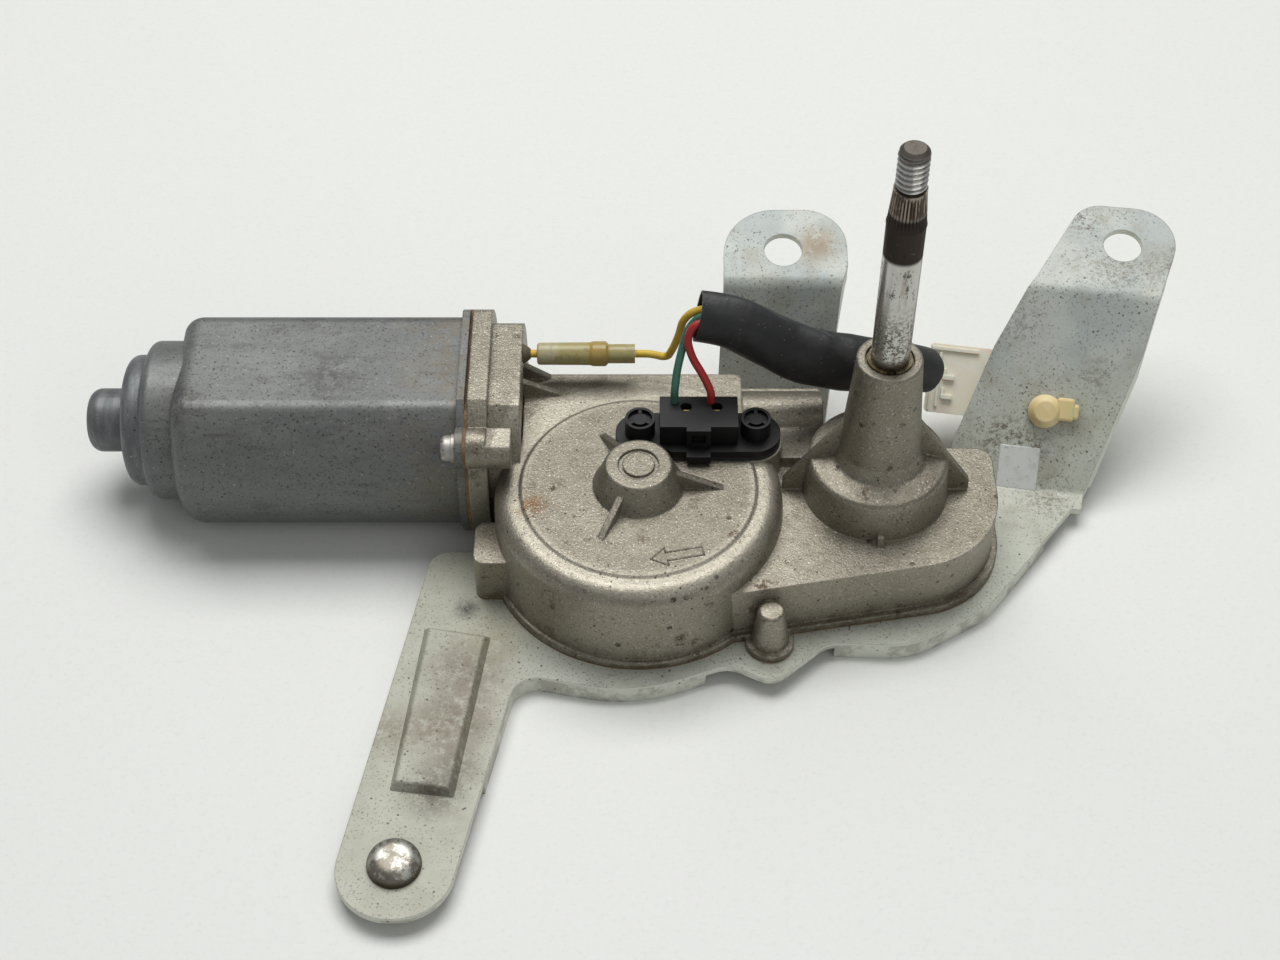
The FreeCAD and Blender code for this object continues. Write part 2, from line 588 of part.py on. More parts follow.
def motor_yoke():
    yoke = motor_body("motor_yoke")
    end = S.can_length - S.yoke_gasket
    tube = new_sketch(yoke, "YZ_Plane", -S.can_length)
    draw_double_d(tube, 0, 0, S.can_radius, S.can_flat)
    can = pad(yoke, tube, end)
    can = round_edges(yoke, can, 5, lambda edge: len(edge.Vertexes) == 2 and edge.BoundBox.XLength > 20)
    round_edges(yoke, can, S.can_corner,
                lambda edge: edge.BoundBox.XLength < 0.1 and edge.BoundBox.XMin < -float(S.can_length) + 1)
    turn_profile(yoke, [
        (-S.can_length + 2, 0), (-S.can_length + 2, S.step_one_radius), (-S.step_one_end, S.step_one_radius, 2.5),
        (-S.step_one_end, S.step_two_radius, 1), (-S.step_two_end, S.step_two_radius, 3),
        (-S.step_two_end, S.nose_radius, 1.2), (-S.nose_end, S.nose_radius, 3.5), (-S.nose_end, 0)],
        axis="H_Axis")
    foot = -S.yoke_gasket - S.yoke_flange_thick
    disc(yoke, S.yoke_flange_radius, foot, S.yoke_flange_thick, plane="YZ_Plane")
    for y, z in EARS:
        disc(yoke, S.ear_radius, foot, S.yoke_flange_thick, y, z, "YZ_Plane")
    for way, flat in ((1, S.can_flat + 2.5), (-1, S.can_flat)):
        window(yoke, [(-40, flat * way), (40, flat * way), (40, (flat + 9) * way), (-40, (flat + 9) * way)],
               foot - 1, S.yoke_flange_thick + 2, "YZ_Plane")
    hollow = new_sketch(yoke, "YZ_Plane", -S.can_length + S.can_wall)
    draw_double_d(hollow, 0, 0, S.can_radius - S.can_wall, S.can_flat - S.can_wall)
    pocket(yoke, hollow, S.can_length, back=True)
    wall = S.can_wall
    turn_profile(yoke, [
        (-S.can_length + 3, 0), (-S.can_length + 3, S.step_one_radius - wall),
        (-S.step_one_end + wall, S.step_one_radius - wall), (-S.step_one_end + wall, S.step_two_radius - wall),
        (-S.step_two_end + wall, S.step_two_radius - wall), (-S.step_two_end + wall, S.nose_radius - wall),
        (-S.nose_end + wall, S.nose_radius - wall), (-S.nose_end + wall, 0)], axis="H_Axis", cut=True)
    holes(yoke, S.screw_radius + 0.2, foot - 1, S.yoke_flange_thick + 2, EARS, "YZ_Plane")


def yoke_fittings():
    packing = motor_body("yoke_gasket")
    sheet_face = new_sketch(packing, "YZ_Plane", -S.yoke_gasket)
    draw_double_d(sheet_face, 0, 0, S.yoke_flange_radius, S.can_flat)
    pad(packing, sheet_face, S.yoke_gasket)
    for y, z in EARS:
        disc(packing, S.ear_radius, -S.yoke_gasket, S.yoke_gasket, y, z, "YZ_Plane")
    opening = new_sketch(packing, "YZ_Plane", -S.yoke_gasket - 1)
    draw_double_d(opening, 0, 0, S.can_radius - S.can_wall, S.can_flat - S.can_wall)
    pocket(packing, opening, 3, back=True)
    holes(packing, S.screw_radius + 0.2, -S.yoke_gasket - 1, 3, EARS, "YZ_Plane")
    foot = -S.yoke_gasket - S.yoke_flange_thick
    screws, washers = [], []
    for number, (y, z) in enumerate(EARS, start=1):
        screw = motor_body("yoke_screw_" + str(number), 0, y, z)
        turn_profile(screw, [
            (foot - 4.0, 0), (foot - 4.0, S.screw_head_radius, 1.4), (foot - 1.1, S.screw_head_radius),
            (foot - 1.1, S.screw_radius), (9.0, S.screw_radius), (9.6, S.screw_radius - 0.6), (9.6, 0)],
            axis="H_Axis")
        for turn in (0, 90):
            cross = new_sketch(screw, "YZ_Plane", foot - 4.1)
            long, thin = (2.2, 0.45) if turn else (0.45, 2.2)
            draw_outline(cross, [(-long, -thin), (long, -thin), (long, thin), (-long, thin)])
            pocket(screw, cross, 1.6, back=True)
        screws.append(screw)
        washer = motor_body("yoke_washer_" + str(number), 0, y, z)
        turn_profile(washer, [(foot - 1.05, S.screw_radius + 0.2), (foot - 1.05, S.screw_head_radius + 0.4),
                              (foot, S.screw_head_radius + 0.4), (foot, S.screw_radius + 0.2)], axis="H_Axis")
        washers.append(washer)
    group("yoke_screws", screws)
    group("yoke_washers", washers)


def along_ring(name, start, end, inner, outer):
    piece = motor_body(name)
    turn_profile(piece, [(start, inner), (end, inner), (end, outer), (start, outer)], axis="H_Axis")
    return piece


def motor_insides():
    bore = S.motor_shaft_radius + S.running_gap
    magnets = []
    for number, turn in enumerate((90, -90), start=1):
        magnet = motor_body("magnet_" + str(number), turn)
        arc = new_sketch(magnet, "XZ_Plane")
        draw_outline(arc, [(-70, 21.6), (-20, 21.6), (-20, S.can_radius - S.can_wall - 0.1),
                           (-70, S.can_radius - S.can_wall - 0.1)])
        feature = add_feature(magnet, "Revolution", arc, "Turned")
        feature.ReferenceAxis = (arc, ["H_Axis"])
        feature.Angle = 100
        feature.Midplane = True
        settle(magnet, feature, False)
        magnets.append(magnet)
    group("magnets", magnets)
    along_ring("rear_bearing", -S.nose_end + S.can_wall + 0.3, -S.step_two_end + 1, bore,
               S.nose_radius - S.can_wall - 0.05)
    along_ring("rear_thrust_washer", -S.step_two_end + 1.3, -S.step_two_end + 2.1, bore, 5.5)
    along_ring("front_bearing", S.brush_room_depth, S.brush_room_depth + S.front_bearing_length, bore,
               S.front_bearing_radius)
    end = S.tunnel_end - S.face_x
    along_ring("worm_end_bush", end - 11, end - 3.6, bore, S.tunnel_radius - S.seat_gap)
    ball = motor_body("thrust_ball")
    ball_sketch = new_sketch(ball, "XZ_Plane")
    centre = end - 0.2
    ball_radius = 2.5
    circle = Part.Circle(Vector(centre.value, 0, 0), Vector(0, 0, 1), ball_radius)
    arc = ball_sketch.addGeometry(Part.ArcOfCircle(circle, 0, math.pi), False)
    line = ball_sketch.addGeometry(Part.LineSegment(Vector(centre.value - ball_radius, 0, 0),
                                                    Vector(centre.value + ball_radius, 0, 0)), False)
    ball_sketch.addConstraint(Sketcher.Constraint("Coincident", arc, 1, line, 2))
    ball_sketch.addConstraint(Sketcher.Constraint("Coincident", arc, 2, line, 1))
    ball_sketch.addConstraint(Sketcher.Constraint("PointOnObject", line, 1, -1))
    fix_point(ball_sketch, arc, 3, centre, 0)
    fix_radius(ball_sketch, arc, ball_radius)
    sphere = add_feature(ball, "Revolution", ball_sketch, "Turned")
    sphere.ReferenceAxis = (ball_sketch, ["H_Axis"])
    settle(ball, sphere, False)
    screw = motor_body("thrust_screw")
    out = S.block_right - S.face_x
    turn_profile(screw, [(end + 2.35, 0), (end + 2.35, S.thrust_screw_radius - 0.6),
                         (end + 2.95, S.thrust_screw_radius), (out - 1, S.thrust_screw_radius), (out - 1, 0)],
                 axis="H_Axis")
    window(screw, [(-0.6, -5), (0.6, -5), (0.6, 5), (-0.6, 5)], out - 2.6, 3, "YZ_Plane")


def armature():
    shaft = motor_body("armature_shaft", 90)
    radius = S.motor_shaft_radius
    end = S.tunnel_end - S.face_x - 2.75
    middle = S.wheel_x - S.face_x
    half = S.worm_length / 2
    core = S.worm_pitch_radius - 1.2 * S.module
    turn_profile(shaft, [
        (-S.nose_end + S.can_wall + 1, 0), (-S.nose_end + S.can_wall + 1, radius), (middle - half, radius),
        (middle - half + 1, core), (middle + half - 1, core), (middle + half, radius), (end, radius), (end, 0)],
        axis="H_Axis")
    pitch = math.pi * S.module
    start = middle - 3 * pitch
    thick = pitch / 2 - S.tooth_gap
    slope = math.tan(math.radians(20))
    thread = new_sketch(shaft, "XZ_Plane")
    tip = S.worm_pitch_radius + S.module
    draw_outline(thread, [
        (start - thick / 2 - slope * 1.3 * S.module, core - 0.1),
        (start + thick / 2 + slope * 1.3 * S.module, core - 0.1),
        (start + thick / 2 - slope * S.module, tip), (start - thick / 2 + slope * S.module, tip)])
    helix = shaft.newObject("PartDesign::AdditiveHelix", "Thread")
    helix.Profile = thread
    helix.ReferenceAxis = (thread, ["H_Axis"])
    helix.Mode = 0
    bind(helix, "Pitch", pitch)
    bind(helix, "Height", 6 * pitch)
    helix.LeftHanded = False
    settle(shaft, helix, False)
    stack = along_ring("lamination_stack", -65, -25, radius + S.seat_gap, 21.0)
    slot = new_sketch(stack, "YZ_Plane", -66)
    draw_outline(slot, [(10.5, -2.2), (19.6, -3.6), (19.6, -0.9), (22, -0.9), (22, 0.9), (19.6, 0.9),
                        (19.6, 3.6), (10.5, 2.2)])
    first = pocket(stack, slot, 42, back=True)
    slots = stack.newObject("PartDesign::PolarPattern", "Slots")
    slots.Originals = [first]
    slots.Axis = (slot, ["N_Axis"])
    slots.Angle = 360
    slots.Occurrences = 10
    stack.Tip = slots
    doc.recompute([slots, stack])
    back = along_ring("winding_back", -74.5, -65.3, radius + 1.2, 18.6)
    front = along_ring("winding_front", -24.7, -16.0, radius + 1.2, 18.6)
    group("armature_windings", [back, front])
    drum = along_ring("commutator", -7.5, 6.0, radius + S.seat_gap, 10.5)
    cut = new_sketch(drum, "YZ_Plane", -5.5)
    draw_outline(cut, [(9.3, -0.3), (11, -0.3), (11, 0.3), (9.3, 0.3)])
    groove = pocket(drum, cut, 13, back=True)
    grooves = drum.newObject("PartDesign::PolarPattern", "Grooves")
    grooves.Originals = [groove]
    grooves.Axis = (cut, ["N_Axis"])
    grooves.Angle = 360
    grooves.Occurrences = 10
    drum.Tip = grooves
    doc.recompute([grooves, drum])


def brush_gear():
    plate = motor_body("brush_plate")
    room_flat = S.can_flat - 1.2 - 2.2
    face = new_sketch(plate, "YZ_Plane", BRUSH_PLATE)
    draw_double_d(face, 0, 0, S.brush_room_radius - 2.9, room_flat - 0.3)
    draw_circle(face, 0, 0, 12.0)
    pad(plate, face, 1.6)
    holders, brushes, springs = [], [], []
    for number, side in enumerate((-1, 1), start=1):
        holder = motor_body("brush_holder_" + str(number), 180 if side < 0 else 0)
        box = new_sketch(holder, "XZ_Plane", -21)
        low, high = BRUSH_PLATE - 6.0, BRUSH_PLATE
        draw_outline(box, [(low, -3.6), (high, -3.6), (high, 3.6), (low, 3.6)])
        pad(holder, box, 8.6)
        inside = new_sketch(holder, "XZ_Plane", -22)
        draw_outline(inside, [(low + 0.7, -2.9), (high - 0.5, -2.9), (high - 0.5, 2.9), (low + 0.7, 2.9)])
        pocket(holder, inside, 11, back=True)
        holders.append(holder)
        brush = motor_body("brush_" + str(number), 180 if side < 0 else 0)
        block = new_sketch(brush, "XZ_Plane", -18.2)
        draw_outline(block, [(low + 0.8, -2.8), (high - 0.6, -2.8), (high - 0.6, 2.8), (low + 0.8, 2.8)])
        pad(brush, block, 7.3)
        brushes.append(brush)
        coil = motor_body("brush_spring_" + str(number), 180 if side < 0 else 0)
        spring = new_sketch(coil, "XZ_Plane", -20.9)
        draw_circle(spring, BRUSH_PLATE - 2.9, 0, 1.9)
        draw_circle(spring, BRUSH_PLATE - 2.9, 0, 1.2)
        pad(coil, spring, 2.6)
        springs.append(coil)
    group("brush_holders", holders)
    group("brushes", brushes)
    group("brush_springs", springs)


BRUSH_PLATE = as_size(7.0)


def case_footprint(piece, bottom, height):
    """The gear case's foot as a flat layer, with the openings of its two rooms and its screw holes."""
    slab(piece, platform_corners(S.bead_out), bottom, height)
    slab(piece, [(-97, -2), (-36, -2), (-36, S.deck_back, 2), (-97, S.deck_back)], bottom, height)
    slab(piece, [(-40, 8), (S.block_right, 8), (S.block_right, S.deck_back - 0.3, 1.5),
                 (-40, S.deck_back - 0.3)], bottom, height)
    disc(piece, S.chamber_radius + S.bead_out, bottom, height, S.wheel_x, S.wheel_y)
    slab(piece, [(-109.6, -24.6, 3), (-96, -24.6), (-96, -10), (-109.6, -10, 3)], bottom, height)
    disc(piece, 6.6, bottom, height, SCREW_SPOTS[1][0], SCREW_SPOTS[1][1])
    hole(piece, ROOM_RADIUS, bottom, height, S.wheel_x, S.wheel_y)
    wall = S.platform_wall
    window(piece, [(-45, -39 + wall), (20, -27 + wall, 6), (20, 9, 6), (-50, 9)], bottom, height)
    holes(piece, S.screw_radius + 0.3, bottom, height, SCREW_SPOTS)


def cover_gasket():
    gasket = new_body("cover_gasket")
    case_footprint(gasket, S.plate_thick, S.gasket_thick)
    room = S.face_x + S.brush_room_length
    window(gasket, [(room - 20, 5), (room + 0.3, 5), (room + 0.3, 40), (room - 20, 40)],
           S.plate_thick, S.gasket_thick)


PLATE = [(-122.5, -7.5, 6), (-143.1, -124.4, 14.5), (-113.1, -124.4, 14.5), (-97.4, -50.0, 7), (-66, -56.6, 46.5),
         (-41, -46.8, 8), (-29, -53.0, 6), (-14, -39.6, 9), (9, -40.6, 24), (31, -27, 22), (62.3, 13.7),
         (25, 19.7), (-10.6, 37.3), (-42.6, 37.3), (-96, 37.3, 3), (-96, -7.5, 3)]
ARM_FOOT, ARM_RUN = (62.2, 13.7), 40.7


def slope_of(angle):
    return math.tan(math.radians(angle.value))


def arm_height(along):
    """Height of the right arm's upper face at a distance from its foot."""
    rise = S.plate_thick + min(along, ARM_RUN) * slope_of(S.arm_slope)
    return rise + max(0, along - ARM_RUN) * slope_of(S.tab_tilt)


def on_right_arm(across, along):
    """A spot on the right arm's upper face, across and along from its foot."""
    turn = math.radians(S.right_arm_turn.value)
    x = ARM_FOOT[0] + across * math.cos(turn) - along * math.sin(turn)
    y = ARM_FOOT[1] + across * math.sin(turn) + along * math.cos(turn)
    return x, y, arm_height(along)


def bent_arm(name, face, offset, shift, turn, width, outline, lip_face):
    """A bent arm: a strip of the plate's thickness, trimmed to its outline, with turned-down edges."""
    pieces = []
    for label, spine, thick, trim in ((name, face, S.plate_thick, 0), (name + "_lips", lip_face, S.lip_depth, 1)):
        strip = doc.addObject("PartDesign::Body", label + "_strip")
        place(strip)
        profile = new_sketch(strip, "YZ_Plane", offset, shift, turn)
        draw_outline(profile, strip_outline(spine, thick, 3))
        pad(strip, profile, width, middle=True)
        plan = doc.addObject("PartDesign::Body", label + "_plan")
        place(plan)
        slab(plan, outline, -5, 80)
        if trim:
            window(plan, inset(outline, S.plate_thick), -6, 90)
        arm = doc.addObject("Part::Common", label)
        arm.Base = strip
        arm.Tool = plan
        pieces.append(arm)
    return pieces


def mounting_bracket():
    plate = doc.addObject("PartDesign::Body", "base_plate")
    place(plate)
    slab(plate, PLATE, -S.flange_depth, S.flange_depth + S.plate_thick)
    window(plate, inset(PLATE, S.plate_thick), -S.flange_depth - 1, S.flange_depth + 1)
    low, deep = -S.flange_depth - 1, S.flange_depth + 1
    window(plate, [(-95, -3), (70, -3), (70, 60), (-95, 60)], low, deep)
    window(plate, [(-47, -60), (-12, -60), (-12, -30), (-47, -30)], low, deep)
    window(plate, [(-150, -130), (-90, -130), (-90, -84), (-150, -84)], low, deep)
    window(plate, [(-110, -20), (-80, -20), (-80, 60), (-110, 60)], low, deep)
    slab(plate, [(-121.3, -36.5, 3), (-126.8, -85.5, 3), (-113.6, -87.5, 3), (-106.6, -39.5, 3)],
         S.plate_thick, S.rib_height)
    window(plate, [(-119.3, -39, 2), (-124.4, -83.5, 2), (-115.6, -85.0, 2), (-109.4, -41.0, 2)],
           -0.1, S.rib_height + 0.2)
    hole(plate, S.stud_neck_radius + S.seat_gap, -1, S.plate_thick + 2, STUD[0], STUD[1])
    holes(plate, S.screw_radius + 0.3, -1, S.plate_thick + 2, SCREW_SPOTS)
    top = S.plate_thick
    rear = [(34, top), (37.3, top), (58.7, 43.4), (86, 43.4 + 27.3 * slope_of(S.tab_tilt))]
    rear_plan = [(-42.6, 30), (-10.8, 30), (-10.8, 37.3), (-7.0, 57), (-4.8, 64.5), (-4.8, 82.8, 12.5),
                 (-40.5, 82.8, 15), (-40.5, 60), (-42.6, 37.3)]
    right = [(-6, top), (0, top), (ARM_RUN, arm_height(ARM_RUN)), (75, arm_height(75))]
    right_plan = [(24, 14), (61, 8), (62.3, 13.7), (78.5, 40.5), (84.3, 54.5), (94.4, 79.9, 12),
                  (64.4, 84.1, 9), (49, 60.3), (37, 46), (25.2, 27.2)]
    arms = bent_arm("rear_arm", rear, -24, 0, 0, 60, rear_plan, [(38.4, 4.2), (58.7, 43.4), (64, 44.7)])
    arms += bent_arm("right_arm", right, ARM_FOOT[0], ARM_FOOT[1], S.right_arm_turn.value, 120, right_plan,
                     [(1.6, arm_height(1.6)), (ARM_RUN, arm_height(ARM_RUN)), (48, arm_height(48))])
    whole = doc.addObject("Part::MultiFuse", "bracket_blank")
    whole.Shapes = [plate] + arms
    doc.recompute()
    drills = []
    for label, spot, turn in (("rear_hole", REAR_HOLE, 0), ("right_hole", RIGHT_HOLE, S.right_arm_turn.value)):
        drill = doc.addObject("Part::Cylinder", label)
        bind(drill, "Radius", S.arm_hole_radius)
        bind(drill, "Height", 30)
        tilt = Rotation(Vector(0, 0, 1), turn).multiply(Rotation(Vector(1, 0, 0), S.tab_tilt.value))
        drill.Placement = Placement(Vector(0, 0, 0), tilt)
        way = tilt.multVec(Vector(0, 0, 1)) * -15
        drill.Placement.Base = Vector(spot[0], spot[1], float(spot[2] - S.mouth_height)) + way
        drills.append(drill)
    clip_hole = doc.addObject("Part::Cylinder", "clip_hole")
    bind(clip_hole, "Radius", S.clip_stem_radius + 0.1)
    bind(clip_hole, "Height", 30)
    clip_hole.Placement = clip_frame(-15)
    notch = doc.addObject("Part::Box", "connector_notch")
    bind(notch, "Length", CONNECTOR_RIGHT - CONNECTOR_LEFT + 1)
    bind(notch, "Width", 21)
    bind(notch, "Height", 14)
    notch.Placement = clip_frame().multiply(Placement(Vector(CONNECTOR_LEFT - 0.5, -4.5, -3.1 - 14), Rotation()))
    cutters = doc.addObject("Part::MultiFuse", "bracket_drills")
    cutters.Shapes = drills + [clip_hole, notch]
    bracket = doc.addObject("Part::Cut", "mounting_bracket")
    bracket.Base = whole
    bracket.Tool = cutters
    bracket.Label = "mounting_bracket"
    doc.recompute()
    NODES.append(bracket)


STUD = (-125.6, -109.0)
REAR_HOLE = (-23.3, 69.2, 46.0)
RIGHT_HOLE = on_right_arm(3.2, 57.15)
CLIP_SPOT = on_right_arm(-13.7, 15.9)
CONNECTOR_LEFT, CONNECTOR_RIGHT = -34.0, 12.0


def clip_frame(along=0):
    """Where the harness clip sits on the right arm: its own Z stands square to the arm's face."""
    turn = Rotation(Vector(0, 0, 1), S.right_arm_turn.value).multiply(Rotation(Vector(1, 0, 0), S.arm_slope.value))
    base = Vector(CLIP_SPOT[0], CLIP_SPOT[1], float(CLIP_SPOT[2] - S.mouth_height))
    return Placement(base + turn.multVec(Vector(0, 0, along)), turn)


def fasteners():
    screws = []
    for number, spot in enumerate(SCREW_SPOTS, start=1):
        screw = new_body("cover_screw_" + str(number), spot[0], spot[1])
        head = S.screw_head_radius
        turn_profile(screw, [(0, -2.8), (head, -2.8, 1.2), (head, 0), (S.screw_radius, 0),
                             (S.screw_radius, 9.6), (0, 10.4)])
        for wide, thin in ((2.2, 0.45), (0.45, 2.2)):
            cross = new_sketch(screw, "XY_Plane", -3)
            draw_outline(cross, [(-wide, -thin), (wide, -thin), (wide, thin), (-wide, thin)])
            pocket(screw, cross, 1.6, back=True)
        screws.append(screw)
    group("cover_screws", screws)
    stud = new_body("locating_stud", STUD[0], STUD[1])
    turn_profile(stud, [(0, -S.flange_depth), (S.stud_radius - 0.8, -S.flange_depth),
                        (S.stud_radius, 0.8 - S.flange_depth), (S.stud_radius, 0), (S.stud_neck_radius, 0),
                        (S.stud_neck_radius, S.plate_thick), (S.stud_head_radius, S.plate_thick),
                        (S.stud_head_radius, S.plate_thick + 4.2, 3.8), (0, S.plate_thick + 4.2)])


def tooth_edge(teeth, module, addendum, dedendum, thin, first, count):
    """Points along involute teeth, anticlockwise; the first tooth's middle is at the angle first."""
    pitch_radius = teeth * module / 2
    base_radius = pitch_radius * math.cos(PRESSURE)
    involute = math.tan(PRESSURE) - PRESSURE

    def half_angle(radius):
        flat = math.acos(min(base_radius / max(radius, base_radius), 1.0))
        return (math.pi / 2 - thin / module) / teeth + involute - (math.tan(flat) - flat)

    radii = [pitch_radius - dedendum, pitch_radius, pitch_radius + addendum]
    points = []
    for tooth in range(count):
        middle = first + tooth * 2 * math.pi / teeth
        for radius in radii:
            points.append((radius, middle - half_angle(radius)))
        for radius in reversed(radii):
            points.append((radius, middle + half_angle(radius)))
    return [(radius * math.cos(angle), radius * math.sin(angle)) for radius, angle in points]


PRESSURE = math.radians(20)


class Pendulum:
    """Lays out the crank, the rod and the rocker in the parked position, one dead centre."""

    def __init__(self):
        ratio = S.sector_teeth.value / S.pinion_teeth.value
        half = math.radians(S.swing_half_angle.value)
        wheel = Vector(S.wheel_x.value, S.wheel_y.value, 0)
        length = S.rocker_length.value
        parked = Vector(-math.sin(half), -math.cos(half), 0) * length
        swung = Vector(math.sin(half), -math.cos(half), 0) * length
        near, far = (wheel - parked).Length, (wheel - swung).Length
        self.rod = (near + far) / 2
        self.crank = (far - near) / 2
        self.pivot = parked
        self.rocker_angle = math.atan2(parked.y, parked.x)
        self.rod_angle = math.atan2(wheel.y - parked.y, wheel.x - parked.x)
        swung_angle = math.atan2(wheel.y - swung.y, wheel.x - swung.x)
        rocker_turn = 2 * half
        rod_turn = swung_angle - self.rod_angle - rocker_turn
        self.swing = rocker_turn - ratio * rod_turn
        self.rocker_share = rocker_turn / self.swing
        self.rod_share = rod_turn / self.swing
        mid_rod_angle = self.rod_angle + (rocker_turn + rod_turn) / 2
        self.sector_middle = math.pi / 2 - mid_rod_angle
        tooth = self.sector_middle + self.rod_angle - (self.rocker_angle + math.pi)
        self.pinion_gap = self.rocker_angle - ratio * tooth


def gear_plate(body, points, bottom, height):
    """Pads an outline of teeth whose points come from a formula."""
    profile = new_sketch(body, "XY_Plane", bottom)
    count = len(points)
    spots = [Vector(x, y, 0) for x, y in points]
    lines = [Part.LineSegment(spots[i], spots[(i + 1) % count]) for i in range(count)]
    profile.addGeometry(lines, False)
    profile.addConstraint([Sketcher.Constraint("Coincident", i, 2, (i + 1) % count, 1) for i in range(count)])
    profile.addConstraint([Sketcher.Constraint("Block", i) for i in range(count)])
    return pad(body, profile, height)


def pendulum_gear():
    lay = Pendulum()
    module = S.pendulum_module.value
    gear_low = BASE + 3.0
    pinion = new_body("output_pinion")
    first = lay.pinion_gap + math.pi / S.pinion_teeth.value
    teeth = int(S.pinion_teeth.value)
    gear_plate(pinion, tooth_edge(teeth, module, 0.8 * module, 1.15 * module, 0.12, first, teeth),
               gear_low, S.gear_thick)
    hole(pinion, S.journal_radius + S.seat_gap, gear_low - 1, S.gear_thick + 2)
    turn = Rotation(Vector(0, 0, 1), math.degrees(lay.rod_angle))
    rod = new_body("connecting_rod", lay.pivot.x, lay.pivot.y, 0, turn)
    disc(rod, 6.2, gear_low, S.gear_thick)
    disc(rod, 6.4, gear_low, S.gear_thick, lay.rod, 0)
    slab(rod, [(0, -5.2), (lay.rod, -4.2), (lay.rod, 4.2), (0, 5.2)], gear_low, S.gear_thick)
    step = 2 * math.pi / S.sector_teeth.value
    count = 5
    edge = tooth_edge(S.sector_teeth.value, module, 0.8 * module, 1.15 * module, 0.12,
                      lay.sector_middle - (count - 1) / 2 * step, count)
    gear_plate(rod, [(0, 0)] + edge, gear_low, S.gear_thick)
    hole(rod, S.pin_radius + S.running_gap, gear_low - 1, S.gear_thick + 2)
    hole(rod, S.crank_pin_radius + S.seat_gap, gear_low - 1, S.gear_thick + 2, lay.rod, 0)
    crank = new_body("crank_pin", lay.pivot.x, lay.pivot.y, 0, turn)
    wheel_low = S.worm_height - S.wheel_thick / 2
    turn_profile(crank, [(0, gear_low - 0.8), (S.crank_pin_radius, gear_low - 0.8),
                         (S.crank_pin_radius, gear_low + S.gear_thick), (5.6, gear_low + S.gear_thick),
                         (5.6, gear_low + S.gear_thick + 1.2), (S.crank_pin_radius, gear_low + S.gear_thick + 1.2),
                         (S.crank_pin_radius, wheel_low - 0.3), (0, wheel_low - 0.3)], x=lay.rod)
    link_turn = Rotation(Vector(0, 0, 1), math.degrees(lay.rocker_angle))
    for name, low in (("lower_link", gear_low - S.link_gap - S.link_thick),
                      ("upper_link", gear_low + S.gear_thick + S.link_gap)):
        link = new_body(name, 0, 0, 0, link_turn)
        disc(link, 6.2, low, S.link_thick)
        disc(link, 5.6, low, S.link_thick, S.rocker_length)
        slab(link, [(0, -5), (S.rocker_length, -4.4), (S.rocker_length, 4.4), (0, 5)], low, S.link_thick)
        hole(link, S.journal_radius + S.running_gap, low - 1, S.link_thick + 2)
        hole(link, S.pin_radius + S.seat_gap, low - 1, S.link_thick + 2, S.rocker_length)
    pin = new_body("rocker_pin", 0, 0, 0, link_turn)
    turn_profile(pin, [(0, gear_low - S.link_gap - S.link_thick), (S.pin_radius, gear_low - S.link_gap - S.link_thick),
                       (S.pin_radius, gear_low + S.gear_thick + S.link_gap + S.link_thick),
                       (0, gear_low + S.gear_thick + S.link_gap + S.link_thick)], x=S.rocker_length)


def worm_wheel():
    module = S.module.value
    teeth = int(S.wheel_teeth.value)
    thick = S.wheel_thick.value
    lead = math.atan(module / (2 * S.worm_pitch_radius.value))
    twist = thick * math.tan(lead) / (teeth * module / 2)
    rings = []
    for end in (0, 1):
        first = math.pi / 2 + math.pi / teeth + (end - 0.5) * twist
        edge = tooth_edge(teeth, module, 0.9 * module, 1.2 * module, S.tooth_gap.value, first, teeth)
        spots = [Vector(x, y, end * thick) for x, y in edge]
        rings.append(Part.makePolygon(spots + spots[:1]))
    blank = Part.makeLoft(rings, True, True)
    hub = Part.makeCylinder(7.0, CEILING.value - S.worm_height.value + thick / 2 - 0.2)
    bore = S.axle_radius.value + S.running_gap.value
    recess = Part.makeCylinder(6.4, 1.9)
    web = Part.makeCylinder(20.0, 1.5, Vector(0, 0, thick - 1.5))
    web = web.cut(Part.makeCylinder(7.0, 1.5, Vector(0, 0, thick - 1.5)))
    shape = blank.cut(web).fuse(hub).cut(Part.makeCylinder(bore, 30)).cut(recess)
    wheel = doc.addObject("Part::Feature", "worm_wheel")
    wheel.Shape = shape.removeSplitter()
    wheel.Label = "worm_wheel"
    place(wheel, S.wheel_x, S.wheel_y, S.worm_height - S.wheel_thick / 2)
    NODES.append(wheel)
    top = S.worm_height + S.wheel_thick / 2
    contact = ring("contact_ring", 21.0, 27.0, top, 0.4, S.wheel_x, S.wheel_y)
    window(contact, [(24, -3), (28, -3), (28, 3), (24, 3)], top - 0.1, 1)
    axle = new_body("wheel_axle", S.wheel_x, S.wheel_y)
    low = S.worm_height - S.wheel_thick / 2 + 0.3
    turn_profile(axle, [(0, low), (6.0, low), (6.0, low + 1.5), (S.axle_radius, low + 1.5),
                        (S.axle_radius, S.axle_top - 0.1), (0, S.axle_top - 0.1)])


def obround(piece, x, y, reach, radius, bottom, height):
    corner = radius - 0.1
    return slab(piece, [(x - reach, y - radius, corner), (x + reach, y - radius, corner),
                        (x + reach, y + radius, corner), (x - reach, y + radius, corner)], bottom, height)


